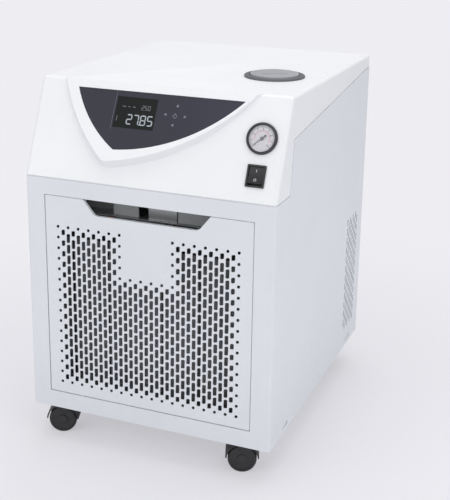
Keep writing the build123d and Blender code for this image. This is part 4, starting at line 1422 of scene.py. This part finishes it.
@dataclass
class Switch:
    """The mains rocker switch with its generic on and off marks."""

    tip: float = math.radians(9)
    pin_depth: float = 5 * MM

    def build(self) -> None:
        """Makes the frame, the rocker and its marks."""
        rim = Bench.round_edges(Bench.like("switch_frame", "switch_rim"), 0.6 * MM, 3)
        dress(Bench.smooth(rim), Body.CABINET, SWITCH_BLACK, "switch_frame")
        rocker = Bench.round_edges(Bench.like("switch_rocker", "switch_key"), 0.8 * MM, 3, sharp=25)
        dress(Bench.smooth(rocker), Body.ROCKER, SWITCH_BLACK, "switch_rocker")
        pivot = SWITCH.moved(0, 0, -self.pin_depth).origin
        seat = sloping(pivot, Seats.tilt + self.tip)
        dip = math.atan2(2.0, 13.818)
        upper = self.face(seat, dip)
        lower = self.face(seat, -dip)
        line = Bench.bar(1.1 * MM, 4.6 * MM, (0, 7.6 * MM))
        Bench.settle(line, upper)
        profile = [(1.5, 0.0), (1.5, 0.05), (2.3, 0.05), (2.3, 0.0)]
        ring = Bench.lathe("switch_ring", millimetres(profile), 28, closed=True)
        Bench.settle_at(ring, (0, -7.6 * MM))
        Bench.settle(ring, lower)
        dress(Bench.join("switch_marks", [line, ring]), Body.ROCKER, SWITCH_PRINT, slot="switch_black")

    def face(self, seat: Seat, dip: float) -> Seat:
        """One of the rocker's two faces, which slope to its middle.

        Args:
            seat: the rocker's own directions at its pivot.
            dip: how far the face leans from them.

        Returns:
            The face's seat.
        """
        turn = Matrix.Rotation(dip, 3, seat.across)
        middle = seat.at(0, 0, 5.52 * MM)
        return Seat(middle, seat.across, turn @ seat.up, turn @ seat.out)


@dataclass
class Filler:
    """The filler's collar and its lid, turned, with a grip bar across the lid."""

    spot: tuple[float, float] = (137 * MM, -60 * MM)

    def build(self) -> None:
        """Makes the collar and the lid."""
        seat = TOP.moved(*self.spot)
        profile = [
            (43.0, 2.4), (43.9, 3.3), (45.0, 3.5), (50.2, 3.5), (51.6, 3.1), (52.4, 2.0),
            (52.4, 0.02), (47.0, 0.02), (47.0, -16), (43.0, -16), (43.0, -6), (38.2, -6),
            (38.2, -3), (43.0, -3),
        ]
        collar = Bench.lathe("filler_ring", millimetres(profile), 96, closed=True)
        dress(Bench.smooth(Bench.settle(collar, seat), 35), Body.CABINET, COLLAR, "filler_collar")
        lid_line = [
            (0, -2.6), (41.6, -2.6), (42.0, -2.2), (42.0, 4.6), (41.5, 5.6), (40.4, 6.0),
            (37.5, 6.0), (36.6, 5.7), (36.0, 5.1), (30.0, 4.9), (15.0, 5.1), (0, 5.2),
        ]
        lid = Bench.lathe("filler_lid", millimetres(lid_line), 96)
        rib = Bench.block("lid_grip", (0, 0, 5.3 * MM), (44 * MM, 7 * MM, 1.3 * MM), 0.5 * MM, 2)
        lid = Bench.settle(Bench.join("filler_lid", [lid, rib]), seat.turned(math.radians(25)))
        dress(Bench.smooth(lid, 35), Body.LID, CAP, "filler_cap")


@dataclass
class Castor:
    """One twin-wheel castor."""

    corner: str
    centre: tuple[float, float]
    turn: float
    trail: float = 16 * MM
    radius: float = 25 * MM
    crown: float = 57 * MM
    race: float = 62 * MM
    cover_span: float = math.radians(172)
    cover_start: float = math.radians(176)

    def build(self) -> None:
        """Makes the fender, the wheels and the plate's bolts."""
        heading = Vector((math.cos(self.turn), math.sin(self.turn), 0))
        up = Vector((0, 0, 1))
        swivel = Seat(Vector((*self.centre, 0)), heading, up.cross(heading), up)
        axle = Seat(
            Vector((*self.centre, self.radius)) + heading * self.trail, heading, up, heading.cross(up)
        )
        self.wheels(axle)
        self.fender(axle, swivel)
        self.bolts(swivel)

    def wheels(self, axle: Seat) -> None:
        """The two wheels and their axle."""
        line = [
            (3.9, 4.0), (20.5, 4.0), (22.0, 4.6), (24.2, 6.2), (25.0, 8.6), (25.0, 17.4),
            (24.4, 19.8), (22.6, 21.4), (20.8, 22.0), (19.6, 22.0), (19.2, 20.6), (14.0, 19.6),
            (9.0, 19.8), (8.4, 21.4), (7.4, 22.0), (0.0, 22.0),
        ]
        outer = Bench.lathe("wheel", millimetres(line), 56)
        mirrored = [(r, -h) for r, h in line]
        inner = Bench.lathe("wheel", millimetres(mirrored), 56)
        pin = Bench.disc("axle", 3.9 * MM, 10 * MM, 24)
        pin.location.z = -5 * MM
        Bench.settle(pin)
        piece = Bench.settle(Bench.join(f"castor_pair_{self.corner}", [outer, inner, pin]), axle)

        def rim(spot: Vector) -> bool:
            """True on the hub, inside the tyre."""
            off = spot - axle.origin
            return (off - axle.out * (off @ axle.out)).length < 19.7 * MM

        second_finish(piece, TYRE, CASTOR_PLASTIC, rim)
        dress(
            Bench.smooth(piece, 35),
            Body.castor("wheels", self.corner),
            TYRE,
            f"castor_wheels_{self.corner}",
        )

    def fender(self, axle: Seat, swivel: Seat) -> None:
        """The curved cover over the wheels, the web between them and the swivel's race."""
        line = [(26.8, -21.2), (27.9, -21), (28.4, -20.4), (28.4, 20.4), (27.9, 21), (26.8, 21.2)]
        cover = Bench.lathe(
            "fender", millimetres(line), 28, angle=self.cover_span
        )
        cover.rotation_euler.z = self.cover_start
        Bench.settle(cover)
        Bench.modify(cover, "SOLIDIFY", thickness=1.6 * MM, offset=0.0)
        web = Bench.disc("web", 22 * MM, 6 * MM, 40, 1 * MM)
        web.location.z = -3 * MM
        Bench.settle(web)
        stem = Bench.block("stem", (-8 * MM, 15 * MM, 0), (34 * MM, 30 * MM, 5.6 * MM), 1.2 * MM)
        body = Bench.settle(Bench.join("fender", [cover, web, stem]), axle)
        saddle = Bench.block(
            "saddle", (8 * MM, 0, self.crown - 4 * MM), (44 * MM, 40 * MM, 8 * MM), 2.6 * MM, 3
        )
        race = Bench.disc("race", 15 * MM, 4.6 * MM, 40, 0.8 * MM)
        race.location.z = self.crown
        top = Bench.settle(Bench.join("saddle", [saddle, Bench.settle(race)]), swivel)
        piece = Bench.join(f"castor_fender_{self.corner}", [body, top])
        dress(
            Bench.smooth(piece, 40),
            Body.castor("swivel", self.corner),
            CASTOR_PLASTIC,
            f"castor_housing_{self.corner}",
        )

    def bolts(self, swivel: Seat) -> None:
        """The bolt heads under the plate."""
        head = Bench.disc("bolt", 4.2 * MM, 2.6 * MM, 6, 0.4 * MM)
        heads = [
            Bench.copy(head, (x * MM, y * MM, self.race - 2.6 * MM))
            for x in (-21, 21)
            for y in (-21, 21)
        ]
        bpy.data.objects.remove(head)
        seat = Seat(swivel.origin, Vector((1, 0, 0)), Vector((0, 1, 0)), Vector((0, 0, 1)))
        piece = Bench.settle(Bench.join(f"castor_bolts_{self.corner}", heads), seat)
        dress(Bench.smooth(piece), Body.CABINET, CASTOR_STEEL, slot="castor_steel")


@dataclass
class RearFittings:
    """The threaded ports, the drain valve with its lever, and the mains inlet."""

    port_z: float = 365 * MM
    ports: dict[str, float] = field(
        default_factory=lambda: {"pump_outlet": 70 * MM, "return_inlet": 160 * MM}
    )
    ridge: float = 1.81 * MM

    def build(self) -> None:
        """Makes the fittings."""
        for node, x in self.ports.items():
            self.port(node, x)
        valve = Bench.round_edges(Bench.like("drain_valve", "drain_body"), 0.8 * MM, 2, sharp=60)
        dress(Bench.smooth(valve, 40), Body.CABINET, FITTING, "drain_valve")
        lever = Bench.round_edges(Bench.like("drain_lever", "drain_grip"), 0.9 * MM, 3)
        dress(Bench.smooth(lever), Body.DRAIN, LEVER, "drain_lever", slot="dark_plastic")
        inlet = Bench.round_edges(Bench.like("mains_inlet", "mains_socket"), 0.7 * MM, 2)
        low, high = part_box("mains_inlet")

        def on_pin(spot: Vector) -> bool:
            """True on the three blades."""
            inside = low.x + 12 * MM < spot.x < high.x - 12 * MM
            return inside and low.z + 10 * MM < spot.z < high.z - 10 * MM

        second_finish(inlet, DARK_PLASTIC, PIN_BRASS, on_pin, whole=True)
        dress(Bench.smooth(inlet), Body.CABINET, DARK_PLASTIC, "mains_inlet")

    def port(self, node: str, x: float) -> None:
        """One port: its hexagon, its ridged thread and its bore.

        Args:
            node: the CAD node.
            x: its place across the rear.
        """
        line = [(9.0, -4.0), (9.0, 21.2), (9.8, 22.0), (12.4, 22.0)]
        height = 21.4 * MM
        while height > 8.5 * MM:
            line += [(13.2, height / MM), (12.1, (height - self.ridge / 2) / MM)]
            height -= self.ridge
        line += [(12.1, 6.0), (12.1, -12.0), (9.0, -12.0)]
        thread = Bench.lathe("thread", millimetres(line), 72, closed=True)
        hexagon = Bench.disc("hexagon", 20 * MM, 5.95 * MM, 6, 0.9 * MM)
        hexagon.location.z = 0.03 * MM
        Bench.settle(hexagon)
        hole = Bench.disc("hole", 11 * MM, 30 * MM, 48)
        hole.location.z = -10 * MM
        Bench.cut(hexagon, Bench.settle(hole))
        seat = REAR.moved(-x, self.port_z)
        piece = Bench.settle(Bench.join(f"{node}_fitting", [thread, hexagon]), seat)
        dress(Bench.smooth(piece, 25), Body.CABINET, FITTING, node)


@dataclass
class Studio:
    """The floor, the background, the lights and the camera."""

    azimuth: float = math.radians(21.98)
    elevation: float = math.radians(16.26)
    roll: float = math.radians(0.723)
    distance: float = 1.954
    target: Point = (0.0106, -0.015, 0.4189)
    lens: float = 75.41
    shift: tuple[float, float] = (0.0203, -0.12)
    backdrop: Colour = (0.858, 0.85, 0.89)
    ambient: float = 0.56

    def build(self) -> None:
        """Sets up the whole studio."""
        self.floor()
        self.world()
        self.light("key", (-1.8, -3.0, 1.9), 2.8, 28.0)
        self.light("top", (0.1, 0.3, 3.0), 2.8, 39.0)
        self.light("fill", (2.6, -1.6, 1.5), 2.2, 21.0)
        self.camera()
        bpy.context.scene.view_settings.view_transform = "Standard"

    def floor(self) -> None:
        """A plain pale floor that fades into the background."""
        bpy.ops.mesh.primitive_plane_add(size=12, location=(0, 0, -0.0003))
        floor = Bench.settle(Bench.named("floor"))
        shade = Shade("floor_pale")
        x, y, _ = shade.where()
        far = (x * x + y * y).root().rise(0.5, 1.15)
        tone = shade.noise(3.0, 2.0) * 0.02 + 0.5
        pale = shade.mix(tone, tuple(c * 0.93 for c in self.backdrop), tuple(c * 0.95 for c in self.backdrop))
        matt = shade.node("ShaderNodeBsdfDiffuse", None, {"Color": pale})
        bright = shade.node("ShaderNodeEmission", None, {"Color": (*self.backdrop, 1.0)})
        seen = Term(shade, shade.node("ShaderNodeLightPath").outputs["Is Camera Ray"])
        near_share = 0.5
        share = (far * (1 - near_share) + near_share) * seen
        blend = shade.node(
            "ShaderNodeMixShader", None, {0: share, 1: matt.outputs[0], 2: bright.outputs[0]}
        )
        shade.output(blend.outputs[0])
        floor.data.materials.append(shade.material)

    def world(self) -> None:
        """An even pale surround that lights softly and shows as the background."""
        world = bpy.data.worlds.new("studio")
        bpy.context.scene.world = world
        world.use_nodes = True
        tree = world.node_tree
        tree.nodes.clear()
        path = tree.nodes.new("ShaderNodeLightPath")
        seen = tree.nodes.new("ShaderNodeBackground")
        seen.inputs[0].default_value = (*self.backdrop, 1)
        seen.inputs[1].default_value = 1.0
        soft = tree.nodes.new("ShaderNodeBackground")
        soft.inputs[0].default_value = (0.98, 0.99, 1.0, 1)
        soft.inputs[1].default_value = self.ambient
        either = tree.nodes.new("ShaderNodeMath")
        either.operation = "MAXIMUM"
        mixed = tree.nodes.new("ShaderNodeMixShader")
        out = tree.nodes.new("ShaderNodeOutputWorld")
        tree.links.new(path.outputs["Is Camera Ray"], either.inputs[0])
        tree.links.new(path.outputs["Is Transmission Ray"], either.inputs[1])
        tree.links.new(either.outputs[0], mixed.inputs[0])
        tree.links.new(soft.outputs[0], mixed.inputs[1])
        tree.links.new(seen.outputs[0], mixed.inputs[2])
        tree.links.new(mixed.outputs[0], out.inputs[0])

    def light(self, name: str, spot: Point, size: float, power: float) -> None:
        """A soft square light that faces the object.

        Args:
            name: its name.
            spot: where it hangs.
            size: the length of its side.
            power: its power in watts.
        """
        bpy.ops.object.light_add(type="AREA", location=spot)
        lamp = bpy.context.view_layer.objects.active
        lamp.name = name
        lamp.data.size = size
        lamp.data.energy = power
        lamp.rotation_mode = "QUATERNION"
        aim = Vector((0, 0, 0.35)) - Vector(spot)
        lamp.rotation_quaternion = aim.to_track_quat("-Z", "Y")

    def camera(self) -> None:
        """The camera at the photograph's angle."""
        back = Vector(
            (
                math.sin(self.azimuth) * math.cos(self.elevation),
                -math.cos(self.azimuth) * math.cos(self.elevation),
                math.sin(self.elevation),
            )
        )
        right = Vector((0, 0, 1)).cross(back).normalized()
        up = back.cross(right)
        tilt_right = right * math.cos(self.roll) + up * math.sin(self.roll)
        tilt_up = up * math.cos(self.roll) - right * math.sin(self.roll)
        place = Vector(self.target) + back * self.distance
        bpy.ops.object.camera_add()
        camera = bpy.context.view_layer.objects.active
        turn = Matrix((tilt_right, tilt_up, back)).transposed().to_4x4()
        camera.matrix_world = Matrix.Translation(place) @ turn
        camera.data.lens = self.lens
        camera.data.sensor_width = 36.0
        camera.data.shift_x, camera.data.shift_y = self.shift
        camera.data.clip_end = 50.0
        bpy.context.scene.camera = camera


def dress_nodes() -> None:
    """Gives every CAD node that stays in view its material."""
    for name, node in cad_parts.items():
        finish = NODE_FINISHES.get(name)
        if finish is None:
            kinds = {"plate": CASTOR_STEEL, "housing": CASTOR_PLASTIC, "wheels": TYRE}
            finish = kinds[name.split("_")[1]]
        node.data.materials.clear()
        node.data.materials.append(finish.material())


def main() -> None:
    """Builds the chiller and the studio."""
    logging.basicConfig(level=logging.INFO, format="%(name)s %(message)s")
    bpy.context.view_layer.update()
    dress_nodes()
    Cabinet().build()
    Hood().build()
    Display().build()
    Gauge().build()
    Switch().build()
    Filler().build()
    for corner, turn in (("fl", 200), ("fr", 200), ("rl", 160), ("rr", 205)):
        x = -175 * MM if corner[1] == "l" else 175 * MM
        y = -238 * MM if corner[0] == "f" else 210 * MM
        Castor(corner, (x, y), math.radians(turn)).build()
    RearFittings().build()
    Studio().build()


if __name__ == "__main__":
    main()
